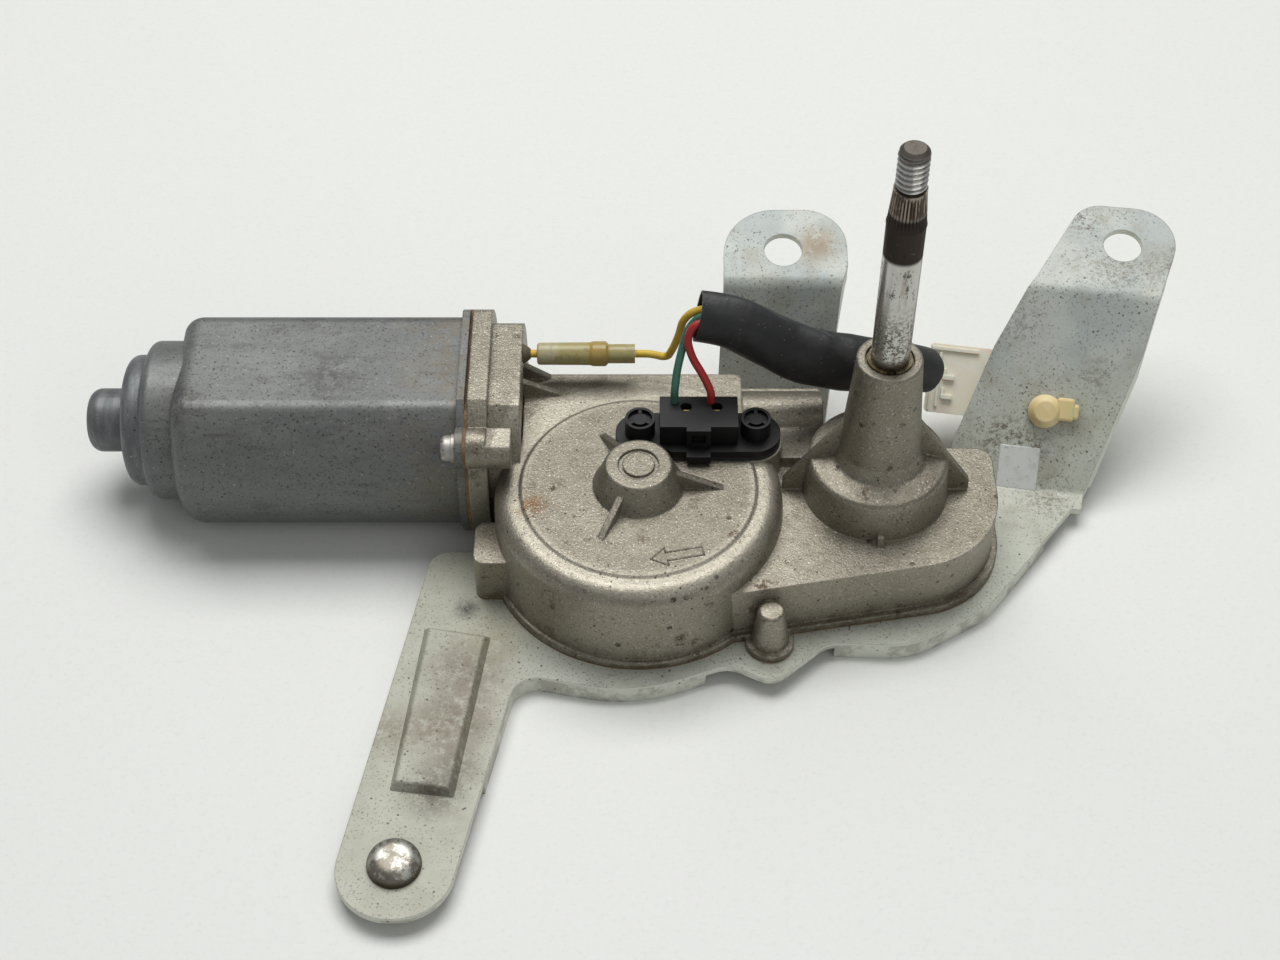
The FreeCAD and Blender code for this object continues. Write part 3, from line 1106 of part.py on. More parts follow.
def terminal_switch():
    seal = new_body("switch_seal")
    obround(seal, SWITCH_X, SWITCH_Y, SWITCH_REACH, SWITCH_RADIUS, S.chamber_top, SEAL_TOP - S.chamber_top)
    window(seal, SWITCH_WINDOW, S.chamber_top - 1, 3)
    hole(seal, S.boss_foot_radius + 0.7, S.chamber_top - 1, 3, S.wheel_x, S.wheel_y)
    base = new_body("switch_base")
    obround(base, SWITCH_X, SWITCH_Y, SWITCH_REACH, SWITCH_RADIUS, SEAL_TOP, SWITCH_TOP - SEAL_TOP)
    hole(base, S.boss_foot_radius + 0.7, SEAL_TOP - 1, 5, S.wheel_x, S.wheel_y)
    for x in SWITCH_POSTS:
        disc(base, S.post_radius, SWITCH_TOP, S.post_top - SWITCH_TOP, x, SWITCH_Y)
        trench = new_sketch(base, "XY_Plane", S.post_top - 1.2)
        draw_circle(trench, x, SWITCH_Y, 3.3)
        pocket(base, trench, 2, back=True)
        for piece in (seal, base):
            hole(piece, S.switch_pin_radius + 0.05, S.chamber_top - 1, 12, x, SWITCH_Y)
    slab(base, [(-52.0, SWITCH_Y - SWITCH_RADIUS - 2.0), (-45.4, SWITCH_Y - SWITCH_RADIUS - 2.0),
                (-45.4, SWITCH_Y - SWITCH_RADIUS + 1), (-52.0, SWITCH_Y - SWITCH_RADIUS + 1)],
         SEAL_TOP, SWITCH_TOP - SEAL_TOP)
    block = new_body("terminal_housing")
    slab(block, [(-59.2, 4.6), (-37.9, 4.6), (-37.9, 16.1), (-59.2, 16.1)], SWITCH_TOP, S.block_high)
    latch = new_sketch(block, "XZ_Plane", -4.6)
    draw_outline(latch, [(-52, SWITCH_TOP), (-45.4, SWITCH_TOP), (-45.4, SWITCH_TOP + S.block_high),
                         (-52, SWITCH_TOP + S.block_high)])
    draw_outline(latch, [(-50.6, SWITCH_TOP + 1.6), (-46.8, SWITCH_TOP + 1.6), (-46.8, SWITCH_TOP + 4.8),
                         (-50.6, SWITCH_TOP + 4.8)])
    pad(block, latch, 1.6)
    for x in TERMINALS:
        hole(block, 1.55, SWITCH_TOP + 2.4, 6, x, 12.2)
    terminals, fingers, pins = [], [], []
    for number, x in enumerate(TERMINALS, start=1):
        tab = new_body("terminal_" + str(number))
        slab(tab, [(x - 1.0, 11.8), (x + 1.0, 11.8), (x + 1.0, 12.6), (x - 1.0, 12.6)], SWITCH_TOP + 2.4, 2.6)
        terminals.append(tab)
    group("switch_terminals", terminals)
    for number, x in enumerate((-52.5, -48.5), start=1):
        finger = new_body("finger_" + str(number))
        profile = new_sketch(finger, "YZ_Plane", x - 1)
        low = S.worm_height + S.wheel_thick / 2 + 0.7
        draw_outline(profile, [(11, SEAL_TOP), (11, low + 1.5), (13.5, low), (13.5, low + 0.5), (11.6, low + 1.8),
                               (11.6, SEAL_TOP)])
        pad(finger, profile, 2)
        fingers.append(finger)
    group("contact_fingers", fingers)
    for number, x in enumerate(SWITCH_POSTS, start=1):
        pin = new_body("switch_pin_" + str(number))
        disc(pin, S.switch_pin_radius, CEILING + 0.3, S.post_top - CEILING - 0.6, x, SWITCH_Y)
        pins.append(pin)
    group("switch_pins", pins)


TERMINALS = (-52.0, -43.6)


def cord_path(points):
    """Straight runs joined by tangent arcs, each as large as its two runs allow."""
    spots = [Vector(float(x), float(y), float(z) - S.mouth_height.value) for x, y, z in points]
    edges = []
    start = spots[0]
    for before, corner, after in zip(spots, spots[1:], spots[2:]):
        one, two = before - corner, after - corner
        turn = math.pi - one.getAngle(two)
        reach = 0.45 * min(one.Length, two.Length)
        arrive = corner + one.normalize() * reach
        leave = corner + two.normalize() * reach
        radius = reach / math.tan(turn / 2)
        middle = corner + (one + two).normalize() * (radius / math.cos(turn / 2) - radius)
        edges.append(Part.LineSegment(start, arrive).toShape())
        edges.append(Part.Arc(arrive, middle, leave).toShape())
        RADII.append(radius)
        start = leave
    edges.append(Part.LineSegment(start, spots[-1]).toShape())
    return Part.Wire(edges)


RADII = []


def tube_along(name, points, radius, inner=0):
    """A tube swept along a route of runs and arcs, with its volume compared with section times length."""
    path = cord_path(points)
    way = path.Edges[0].tangentAt(path.Edges[0].FirstParameter)
    shapes = []
    for size in (radius, inner):
        if size:
            ring_wire = Part.Wire(Part.makeCircle(float(size), path.Vertexes[0].Point, way))
            shapes.append(path.makePipeShell([ring_wire], True, True))
    shape = shapes[0].cut(shapes[1]) if inner else shapes[0]
    section = math.pi * (float(radius) ** 2 - float(inner) ** 2)
    print(name, "length", round(path.Length, 1), "least radius", round(min(RADII), 1),
          "volume share", round(shape.Volume / (section * path.Length), 4))
    RADII.clear()
    tube = doc.addObject("Part::Feature", name)
    tube.Shape = shape
    tube.Label = name
    NODES.append(tube)
    return tube


SLEEVE = [(-48.5, 25, 62.6), (-41, 25.2, 60.4), (-34.6, 25, 57.2), (-28.4, 24.8, 53.4), (-22, 25, 49.8),
          (-14.8, 25.2, 46.3), (-6.5, 25.4, 43.9), (3, 26.2, 42.0), (12.5, 27.6, 39.0)]
BEND = [(17.4, 30.4, 36.0), (17.0, 35.8, 31.4), (12.4, 43.0, 23.4), (10.4, 47.2, 18.4), (12.6, 48.6, 16.4)]


def inner_route(spread):
    """A wire's stretch inside the sleeve and on to the connector, in a flat ribbon of three."""
    frame = clip_frame()
    aside = frame.Rotation.multVec(Vector(0, spread, 0))
    route = [(x, y + aside.y, z + aside.z) for x, y, z in SLEEVE[1:]]
    route += [(x + aside.x, y + aside.y, z + aside.z) for x, y, z in BEND]
    for along in (CONNECTOR_LEFT - 3.0, CONNECTOR_LEFT):
        spot = frame.multVec(Vector(along, 6.0 + spread, -8.7))
        route.append((spot.x, spot.y, spot.z + S.mouth_height.value))
    return route


def harness():
    wire = S.wire_radius
    bullet_end = -66.0
    block_top = SWITCH_TOP + S.block_high
    red = [(-45.2, 14.2, block_top), (-45.2, 14.2, 43.6), (-47.4, 16.2, 48.0), (-50.6, 18.6, 52.6),
           (-52.0, 20.4, 57.6), (-50.2, 21.8, 61.8), (-46.0, 22.6, 62.0)]
    green = [(-55.2, 14.2, block_top), (-55.2, 14.2, 44.0), (-54.6, 17.4, 48.6), (-53.2, 21.2, 53.2),
             (-51.6, 24.2, 58.0), (-48.8, 25.2, 61.4), (-45.0, 25.2, 61.6)]
    yellow = [(bullet_end + 0.05, LEAD_Y, LEAD_Z), (-61.5, LEAD_Y, LEAD_Z), (-57.0, 34.2, 37.0),
              (-55.2, 32.6, 42.8), (-53.8, 30.8, 49.6), (-53.0, 28.9, 56.4), (-50.4, 27.8, 61.0),
              (-45.2, 27.3, 62.8)]
    tube_along("red_wire", red + inner_route(-2.9), wire)
    tube_along("green_wire", green + inner_route(0), wire)
    tube_along("yellow_wire", yellow + inner_route(2.9), wire)
    tube_along("harness_sleeve", SLEEVE, S.sleeve_radius, S.sleeve_radius - S.sleeve_wall)

    # Bullet connector on the motor's lead
    grommet = new_body("lead_grommet", 0, LEAD_Y, LEAD_Z)
    wall = S.face_x + S.brush_room_length
    turn_profile(grommet, [(wall - 3.4, wire + 0.02), (wall - 3.4, S.grommet_radius),
                           (wall, S.grommet_radius), (wall, S.grommet_radius + 1), (wall + 1, S.grommet_radius + 0.6),
                           (wall + 2.2, wire + 0.3), (wall + 2.2, wire + 0.02)], axis="H_Axis")
    lead = new_body("motor_lead", 0, LEAD_Y, LEAD_Z)
    turn_profile(lead, [(wall - 4.5, 0), (wall - 4.5, wire), (-91.5, wire), (-91.5, 0)], axis="H_Axis")
    plug = new_body("bullet_plug", 0, LEAD_Y, LEAD_Z)
    turn_profile(plug, [(-91.5, 0), (-91.5, 1.6), (-84.0, 1.6), (-84.0, 1.2), (-83.4, 1.2), (-83.4, 1.6),
                        (-80.6, 1.6), (-79.6, 0.8), (-79.6, 0)], axis="H_Axis")
    socket = new_body("bullet_socket", 0, LEAD_Y, LEAD_Z)
    turn_profile(socket, [(-89.5, 1.65), (-89.5, 2.15), (-76, 2.15), (-76, 1.5), (bullet_end, 1.5), (bullet_end, 0),
                          (-77, 0), (-77, 1.65)], axis="H_Axis")
    cover = new_body("bullet_sleeve", 0, LEAD_Y, LEAD_Z)
    outer = S.bullet_radius
    turn_profile(cover, [(-93.4, 2.3), (-93.4, outer, 0.8), (-78.6, outer + 0.1), (-77.8, outer + 0.4),
                         (-74.2, outer + 0.4), (-73.4, outer - 0.4), (bullet_end, outer - 0.4),
                         (bullet_end, 2.3)], axis="H_Axis")
    shell = new_body("connector_housing", *CLIP_SPOT, clip_frame().Rotation)
    thick = S.connector_wall
    slab(shell, [(CONNECTOR_LEFT, -4, 1), (CONNECTOR_RIGHT, -4, 1), (CONNECTOR_RIGHT, 16, 1),
                 (CONNECTOR_LEFT, 16, 1)], -14, 10.6)
    far = CONNECTOR_RIGHT + 1
    window(shell, [(-8, -4 + thick), (far, -4 + thick), (far, 16 - thick), (-8, 16 - thick)],
           -14 + thick, 10.6 - 2 * thick)
    pins = []
    for number, spread in enumerate((-2.9, 0.0, 2.9), start=1):
        pin = new_body("connector_pin_" + str(number), *CLIP_SPOT, clip_frame().Rotation)
        slab(pin, [(-8, 5.4 + spread), (5, 5.4 + spread), (5, 6.6 + spread), (-8, 6.6 + spread)], -9.1, 0.8)
        pins.append(pin)
    group("connector_pins", pins)
    clip = new_body("harness_clip", *CLIP_SPOT, clip_frame().Rotation)
    stem = S.clip_stem_radius
    turn_profile(clip, [(0, -3.4), (6, -3.4), (6, -S.plate_thick - 0.1), (stem, -S.plate_thick - 0.1), (stem, 0.3),
                        (4.8, 0.3), (4.8, 2.2), (3.2, 4.6, 1), (0, 4.6)])
    slab(clip, [(0, -1.6), (7.5, -1.2), (7.5, 1.2), (0, 1.6)], 0.4, 2.4)


for build in (gearbox_housing, cover_gasket, mounting_bracket, fasteners, output_shaft, shaft_rings,
              pendulum_gear, worm_wheel, motor_yoke, yoke_fittings, motor_insides, armature, brush_gear,
              terminal_switch, harness):
    build()
doc.recompute()

for thing in doc.Objects:
    if {"Invalid", "Error"} & set(thing.State):
        raise ValueError(thing.Label + ": " + ", ".join(thing.State))
os.makedirs("parts", exist_ok=True)
for node in NODES:
    if node.Shape.isNull() or not node.Shape.isValid():
        raise ValueError(node.Label + ": shape is not valid")
    node.Shape.exportStep("parts/" + node.Label + ".step")
    print(node.Label, len(node.Shape.Solids), round(node.Shape.Volume, 1))
print(len(NODES), "nodes")
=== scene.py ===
import json
import math

import bmesh
import bpy
import numpy as np
from mathutils import Matrix, Vector


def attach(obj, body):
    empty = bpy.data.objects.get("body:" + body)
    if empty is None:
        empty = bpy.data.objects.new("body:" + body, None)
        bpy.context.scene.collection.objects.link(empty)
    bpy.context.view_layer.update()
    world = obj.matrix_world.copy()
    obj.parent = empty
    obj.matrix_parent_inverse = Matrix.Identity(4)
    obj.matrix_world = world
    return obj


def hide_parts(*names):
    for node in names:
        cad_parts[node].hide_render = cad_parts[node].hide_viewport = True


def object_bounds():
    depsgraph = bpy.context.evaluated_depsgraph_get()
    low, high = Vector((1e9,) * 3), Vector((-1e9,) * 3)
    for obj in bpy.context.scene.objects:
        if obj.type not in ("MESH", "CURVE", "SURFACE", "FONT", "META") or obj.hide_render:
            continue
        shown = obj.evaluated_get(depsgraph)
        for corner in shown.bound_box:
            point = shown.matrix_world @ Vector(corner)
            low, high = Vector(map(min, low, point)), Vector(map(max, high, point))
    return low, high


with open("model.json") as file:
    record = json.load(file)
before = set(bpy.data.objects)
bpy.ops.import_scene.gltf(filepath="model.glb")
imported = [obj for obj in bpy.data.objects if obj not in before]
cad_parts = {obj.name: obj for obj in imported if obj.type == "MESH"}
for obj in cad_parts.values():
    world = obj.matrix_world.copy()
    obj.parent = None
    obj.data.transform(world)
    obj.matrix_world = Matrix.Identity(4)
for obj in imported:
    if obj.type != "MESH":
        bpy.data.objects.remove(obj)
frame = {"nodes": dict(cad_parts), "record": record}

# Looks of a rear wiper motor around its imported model. Metres, in the model's own frame: the origin is
# on the output shaft's axis at the mouth of its tower, +Z up, the motor can towards -X.

MM = 0.001
CAD_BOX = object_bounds()
NODES = frame["nodes"]
FLOOR_Z = CAD_BOX[0].z

# Height of the tower's mouth over the underside of the base plate, and the upright axis of the wheel
# chamber, both in millimetres

MOUTH = 70.8
WHEEL_SPOT = (-65.0, -7.5)

# Dirt, rust and scuffs, some of it painted shade as well: spot and reach in millimetres, then a colour
# where it changes, and how strong

RUST_SPOT = (-94, -15, -41)
CAN_SCUFFS = [((-190, 12, -26), 12), ((-184, 2, -24), 6), ((-196, -28, -44), 8), ((-150, 20, -24), 16)]
# Left arm: dirt, and along the right and front edges of its bead the spots are painted shade as well as
# dirt
LEFT_ARM_DIRT_AND_SHADE = [
    ((-111, -50, -68.8), 18, (0.13, 0.10, 0.062), 0.8),
    ((-112, -66, -68.8), 15, (0.12, 0.09, 0.055), 0.85),
    ((-117, -88, -68.8), 12, (0.08, 0.062, 0.042), 0.9),
    ((-112, -80, -68.8), 10, (0.10, 0.08, 0.05), 0.85),
    ((-131, -68, -68.8), 13, (0.17, 0.14, 0.09), 0.7),
    ((-119, -70, -66.4), 14, (0.16, 0.125, 0.08), 0.65),
    ((-112, -28, -68.8), 5, (0.05, 0.045, 0.035), 0.95),
    ((-104, -38, -68.8), 14, (0.24, 0.21, 0.12), 0.5),
]
# Right arm: dirt, and the spots along the top edge of the fold's gusset are a painted shadow line as well
# as dirt
RIGHT_ARM_DIRT_AND_SHADE = [
    ((64, 79, -22), 10, 0.9), ((72, 62, -26), 16, 0.7), ((66, 39, -46), 9, 0.75), ((88, 62, -24), 12, 0.6),
    ((38, 26, -60), 16, 0.7), ((51, 32, -51), 8, 0.8), ((52, 12, -68), 12, 0.8), ((44, 50, -36), 12, 0.5),
    ((41, 27, -59), 9, 0.9), ((48, 25, -60), 7, 0.9),
]
REAR_TAB_RUST = (-13.5, 71, -24.5)

# How much the shaft's taper narrows, as millimetres of radius in a metre of height

TAPER_PER_METRE = 79.0

# Materials: one small tree of nodes for each


class Look:
    """A material whose colour, roughness and bump are built up layer by layer."""

    def __init__(self, name, colour, roughness=0.5, metallic=0.0, edge=0.0):
        self.material = bpy.data.materials.new(name)
        self.material.use_nodes = True
        self.tree = self.material.node_tree
        self.shader = self.tree.nodes["Principled BSDF"]
        self.shader.inputs["Metallic"].default_value = metallic
        self.shader.inputs["Roughness"].default_value = roughness
        self.material.diffuse_color = (*colour, 1)
        self.coords = self.add("ShaderNodeTexCoord").outputs["Object"]
        self.colour = self.constant(colour)
        self.roughness = None
        self.height = None
        self.base_roughness = roughness
        self.edge = edge

    def add(self, kind, **settings):
        node = self.tree.nodes.new(kind)
        for key, value in settings.items():
            setattr(node, key, value)
        return node

    def link(self, source, target):
        self.tree.links.new(source, target)

    def constant(self, colour):
        node = self.add("ShaderNodeRGB")
        node.outputs[0].default_value = (*colour, 1)
        return node.outputs[0]

    def moved(self, stretch=(1, 1, 1), shift=(0, 0, 0)):
        """The model's coordinates, stretched and then shifted."""
        node = self.add("ShaderNodeMapping")
        node.inputs["Scale"].default_value = stretch
        node.inputs["Location"].default_value = shift
        self.link(self.coords, node.inputs["Vector"])
        return node.outputs[0]

    def noise(self, size, detail=4, rough=0.55, stretch=(1, 1, 1), shift=(0, 0, 0)):
        """Noise whose blots are about this many millimetres wide."""
        node = self.add("ShaderNodeTexNoise")
        node.inputs["Scale"].default_value = 1 / (size * MM)
        node.inputs["Detail"].default_value = detail
        node.inputs["Roughness"].default_value = rough
        self.link(self.moved(stretch, shift), node.inputs["Vector"])
        return node.outputs["Fac"]

    def cells(self, size, shift=(0, 0, 0)):
        """Distance to the nearest of scattered dots that lie about this many millimetres apart."""
        node = self.add("ShaderNodeTexVoronoi")
        node.inputs["Scale"].default_value = 1 / (size * MM)
        self.link(self.moved(shift=shift), node.inputs["Vector"])
        return node.outputs["Distance"]

    def math(self, operation, one, other=None, clamp=False):
        node = self.add("ShaderNodeMath", operation=operation, use_clamp=clamp)
        for socket, value in zip(node.inputs, (one, other)):
            if value is None:
                continue
            if isinstance(value, (int, float)):
                socket.default_value = value
            else:
                self.link(value, socket)
        return node.outputs[0]

    def both(self, one, other):
        """The mask where two masks meet."""
        return self.math("MULTIPLY", one, other)

    def outside(self, mask):
        """The mask's opposite."""
        return self.math("SUBTRACT", 1.0, mask)

    def span(self, value, low, high):
        """0 below low, 1 above high, smooth between; the other way round where low is above high."""
        node = self.add("ShaderNodeMapRange", interpolation_type="SMOOTHSTEP")
        turned = low > high
        node.inputs["From Min"].default_value = min(low, high)
        node.inputs["From Max"].default_value = max(low, high)
        node.inputs["To Min"].default_value = 1.0 if turned else 0.0
        node.inputs["To Max"].default_value = 0.0 if turned else 1.0
        self.link(value, node.inputs["Value"])
        return node.outputs["Result"]

    def part_of(self, vector, letter):
        """One of a vector's three numbers."""
        node = self.add("ShaderNodeSeparateXYZ")
        self.link(vector, node.inputs[0])
        return node.outputs[letter]

    def axis(self, letter):
        """The place along an axis of the model, in metres."""
        return self.part_of(self.coords, letter)

    def radius(self):
        """Distance from the output shaft's axis, in millimetres."""
        across = [self.math("POWER", self.math("ABSOLUTE", self.axis(letter)), 2.0) for letter in "XY"]
        return self.math("MULTIPLY", self.math("SQRT", self.math("ADD", *across)), 1 / MM)

    def disc(self, x, y, inner, outer):
        """1 within the inner radius of an upright axis, 0 beyond the outer one, in millimetres."""
        node = self.add("ShaderNodeVectorMath", operation="LENGTH")
        self.link(self.moved((1, 1, 0), (-x * MM, -y * MM, 0)), node.inputs[0])
        return self.span(node.outputs["Value"], outer * MM, inner * MM)

    def facing_up(self):
        """How far the surface's own normal points up, from -1 to 1."""
        return self.part_of(self.add("ShaderNodeNewGeometry").outputs["Normal"], "Z")

    def near(self, spot, size):
        """1 at a spot of the model, falling to 0 at a distance of size millimetres."""
        node = self.add("ShaderNodeVectorMath", operation="DISTANCE")
        self.link(self.coords, node.inputs[0])
        node.inputs[1].default_value = [v * MM for v in spot]
        return self.span(node.outputs["Value"], size * MM, 0.0)

    def paint(self, mask, colour, amount=1.0):
        """Lays another colour over the one so far, where the mask is."""
        node = self.add("ShaderNodeMix", data_type="RGBA")
        if amount != 1.0:
            mask = self.math("MULTIPLY", mask, amount)
        self.link(mask, node.inputs["Factor"])
        self.link(self.colour, node.inputs["A"])
        node.inputs["B"].default_value = (*colour, 1)
        self.colour = node.outputs["Result"]

    def roughen(self, mask, amount):
        start = self.base_roughness if self.roughness is None else self.roughness
        self.roughness = self.math("ADD", start, self.math("MULTIPLY", mask, amount), clamp=True)

    def raise_by(self, value, millimetres):
        step = self.math("MULTIPLY", value, millimetres * MM)
        self.height = step if self.height is None else self.math("ADD", self.height, step)

    def done(self, **constants):
        self.link(self.colour, self.shader.inputs["Base Color"])
        if self.roughness is not None:
            self.link(self.roughness, self.shader.inputs["Roughness"])
        for name, value in constants.items():
            self.shader.inputs[name.replace("_", " ")].default_value = value
        normal = None
        if self.edge:
            bevel = self.add("ShaderNodeBevel", samples=4)
            bevel.inputs["Radius"].default_value = self.edge * MM
            normal = bevel.outputs["Normal"]
        if self.height is not None:
            bump = self.add("ShaderNodeBump")
            bump.inputs["Distance"].default_value = 1.0
            self.link(self.height, bump.inputs["Height"])
            if normal is not None:
                self.link(normal, bump.inputs["Normal"])
            normal = bump.outputs["Normal"]
        if normal is not None:
            self.link(normal, self.shader.inputs["Normal"])
        return self.material


def cast_metal():
    look = Look("cast", (0.225, 0.206, 0.162), 0.34, 0.82, edge=0.7)
    look.paint(look.span(look.noise(34, 3, 0.5), 0.40, 0.66), (0.30, 0.276, 0.222), 0.8)
    look.paint(look.span(look.noise(7, 6, 0.7), 0.46, 0.66), (0.15, 0.13, 0.095), 0.55)
    # Faces that do not point up are painted lighter, as painted light on the walls; the tower's upright
    # sides are painted darker, as painted shade
    flat = look.span(look.facing_up(), 0.2, 0.9)
    look.paint(look.outside(flat), (0.36, 0.332, 0.268), 0.6)
    tower = look.both(look.disc(0, 0, 9, 12), look.outside(flat))
    look.paint(tower, (0.21, 0.192, 0.150), 0.7)
    # The flat top of the wheel chamber is painted darker: painted shade
    chamber_top = look.both(look.disc(*WHEEL_SPOT, 29.0, 33.0), flat)
    look.paint(chamber_top, (0.165, 0.150, 0.117), 0.45)
    # The sloping rim round the chamber's top is painted lighter: a painted highlight on its rounded edge
    rim = look.both(look.disc(*WHEEL_SPOT, 39.0, 40.0), look.outside(chamber_top))
    turned = look.both(rim, look.span(look.facing_up(), 0.35, 0.85))
    look.paint(turned, (0.42, 0.39, 0.32), 0.6)
    # Darker blotches towards the foot of the casting, just above the plate
    darker_foot = look.both(look.span(look.axis("Z"), -0.0600, -0.0685),
                      look.span(look.noise(5, 6, 0.7), 0.42, 0.60))
    look.paint(darker_foot, (0.10, 0.08, 0.052), 0.6)
    stain = look.both(look.span(look.noise(9, 6, 0.7, shift=(2, 1, 0)), 0.57, 0.68),
                      look.span(look.noise(45, 2, shift=(5, 5, 0)), 0.48, 0.60))
    look.paint(stain, (0.085, 0.052, 0.028), 0.8)
    rust = look.both(look.near(RUST_SPOT, 7), look.span(look.noise(2.5, 6, 0.75), 0.42, 0.52))
    look.paint(rust, (0.14, 0.065, 0.022), 0.85)
    blots = look.both(look.span(look.cells(5.5), 0.20, 0.10),
                      look.span(look.noise(18, 4, 0.7, shift=(1, 7, 3)), 0.50, 0.60))
    look.paint(blots, (0.05, 0.038, 0.026), 0.85)
    specks = look.both(look.span(look.cells(2.6, shift=(0.7, 0.2, 0.4)), 0.17, 0.09),
                       look.span(look.noise(14, 4, 0.7, shift=(6, 2, 3)), 0.46, 0.58))
    look.paint(specks, (0.040, 0.032, 0.024), 0.85)
    dust = look.span(look.cells(1.3, shift=(0.3, 0.1, 0.7)), 0.16, 0.08)
    look.paint(dust, (0.07, 0.056, 0.04), 0.65)
    pale = look.span(look.noise(0.6, 3, 0.65, shift=(3, 3, 3)), 0.57, 0.68)
    look.paint(pale, (0.66, 0.64, 0.58), 0.55)
    dark = look.span(look.noise(0.7, 3, 0.65, shift=(8, 3, 1)), 0.57, 0.68)
    look.paint(dark, (0.08, 0.066, 0.046), 0.7)
    look.roughen(look.noise(2, 5), 0.22)
    look.roughen(stain, 0.2)
    look.raise_by(look.noise(0.7, 4, 0.65), 0.13)
    look.raise_by(look.noise(5, 3, 0.5), 0.14)
    return look.done()


def can_metal():
    look = Look("can_steel", (0.150, 0.155, 0.150), 0.40, 0.5, edge=0.5)
    pale = look.span(look.noise(30, 4, 0.6, stretch=(0.4, 1, 1)), 0.42, 0.62)
    look.paint(pale, (0.20, 0.205, 0.195), 0.7)
    fog = look.span(look.noise(6, 7, 0.75, stretch=(0.7, 1, 1), shift=(3, 3, 3)), 0.46, 0.66)
    look.paint(fog, (0.26, 0.262, 0.248), 0.3)
    # Faces that point sideways or down are painted plainer and darker: painted shade
    low = look.span(look.facing_up(), 0.55, 0.25)
    look.paint(low, (0.145, 0.156, 0.152), 0.6)
    streaks = look.span(look.noise(3.2, 6, 0.7, stretch=(0.25, 1, 1), shift=(8, 1, 2)), 0.52, 0.66)
    look.paint(streaks, (0.085, 0.082, 0.072), 0.42)
    grit = look.span(look.noise(0.8, 4, 0.8, shift=(1, 5, 2)), 0.555, 0.625)
    look.paint(grit, (0.045, 0.040, 0.033), 0.8)
    front = look.both(look.span(look.axis("X"), -0.140, -0.118),
                      look.span(look.noise(8, 6, 0.7), 0.42, 0.60))
    look.paint(front, (0.17, 0.14, 0.098), 0.5)
    rear = look.span(look.axis("X"), -0.196, -0.204)
    look.paint(rear, (0.115, 0.125, 0.135), 0.6)
    brushed = look.both(rear, look.span(look.noise(2.2, 5, 0.7, stretch=(1, 0.2, 0.2)), 0.46, 0.60))
    look.paint(brushed, (0.22, 0.22, 0.215), 0.6)
    for spot, size in CAN_SCUFFS:
        scuff = look.both(look.near(spot, size), look.span(look.noise(2.4, 6, 0.8), 0.42, 0.58))
        look.paint(scuff, (0.055, 0.050, 0.043), 0.7)
    dots = look.both(look.span(look.cells(2.1), 0.19, 0.10), look.span(look.noise(12, 4), 0.42, 0.54))
    look.paint(dots, (0.045, 0.036, 0.028), 0.8)
    flecks = look.span(look.noise(0.8, 3, 0.6, shift=(5, 5, 1)), 0.64, 0.74)
    look.paint(flecks, (0.50, 0.50, 0.48), 0.6)
    look.roughen(look.noise(4, 6, 0.75), 0.2)
    look.raise_by(look.noise(1.0, 4), 0.03)
    look.raise_by(look.noise(13, 2), 0.10)
    return look.done()


def plate_metal():
    look = Look("plate_steel", (0.43, 0.445, 0.375), 0.40, 0.15, edge=0.45)
    # The plate behind the housing is painted darker and bluer: painted shade
    behind = look.span(look.axis("Y"), 0.030, 0.045)
    look.paint(behind, (0.35, 0.385, 0.375), 0.85)
    look.paint(look.span(look.noise(26, 3), 0.45, 0.62), (0.49, 0.505, 0.45), 0.6)
    film = look.span(look.noise(17, 6, 0.7, shift=(4, 2, 8)), 0.46, 0.66)
    look.paint(film, (0.27, 0.255, 0.195), 0.5)
    left_arm = look.span(look.axis("X"), -0.080, -0.100)
    look.paint(left_arm, (0.335, 0.325, 0.255), 0.55)
    grit = look.span(look.noise(0.75, 4, 0.75, shift=(1, 5, 2)), 0.56, 0.64)
    thick = look.span(look.noise(19, 5, 0.65, shift=(7, 7, 3)), 0.30, 0.50)
    look.paint(look.both(grit, thick), (0.085, 0.07, 0.048), 0.85)
    haze = look.span(look.noise(4, 8, 0.85), 0.33, 0.55)
    # Dirt on the left arm, which is painted shade as well along the right and front edges of its bead
    for spot, size, colour, amount in LEFT_ARM_DIRT_AND_SHADE:
        look.paint(look.both(haze, look.near(spot, size)), colour, amount)
    rear_tab = look.both(look.near(REAR_TAB_RUST, 10), look.span(look.noise(3, 7, 0.8), 0.34, 0.50))
    look.paint(rear_tab, (0.24, 0.165, 0.09), 0.85)
    fine = look.span(look.noise(1.6, 7, 0.85, shift=(2, 4, 1)), 0.47, 0.58)
    # Dirt on the right arm, with a painted shadow line along the top edge of the gusset
    for spot, size, amount in RIGHT_ARM_DIRT_AND_SHADE:
        look.paint(look.both(fine, look.near(spot, size)), (0.11, 0.09, 0.06), amount)
    # Faces that do not point up are painted lighter: painted light on the plate's turned-down walls
    skirt = look.span(look.facing_up(), 0.5, 0.2)
    look.paint(skirt, (0.74, 0.75, 0.66), 0.8)
    edge = look.both(look.span(look.axis("Z"), -0.0690, -0.0700),
                     look.span(look.noise(9, 6, 0.7), 0.44, 0.58))
    look.paint(edge, (0.15, 0.125, 0.09), 0.45)
    dots = look.both(look.span(look.cells(2.6), 0.17, 0.08),
                     look.span(look.noise(13, 4, 0.7, shift=(2, 8, 5)), 0.45, 0.58))
    look.paint(dots, (0.05, 0.04, 0.03), 0.9)
    look.roughen(look.noise(7, 6, 0.7), 0.22)
    look.raise_by(look.noise(12, 2), 0.06)
    look.raise_by(look.noise(1.1, 3), 0.012)
    return look.done()


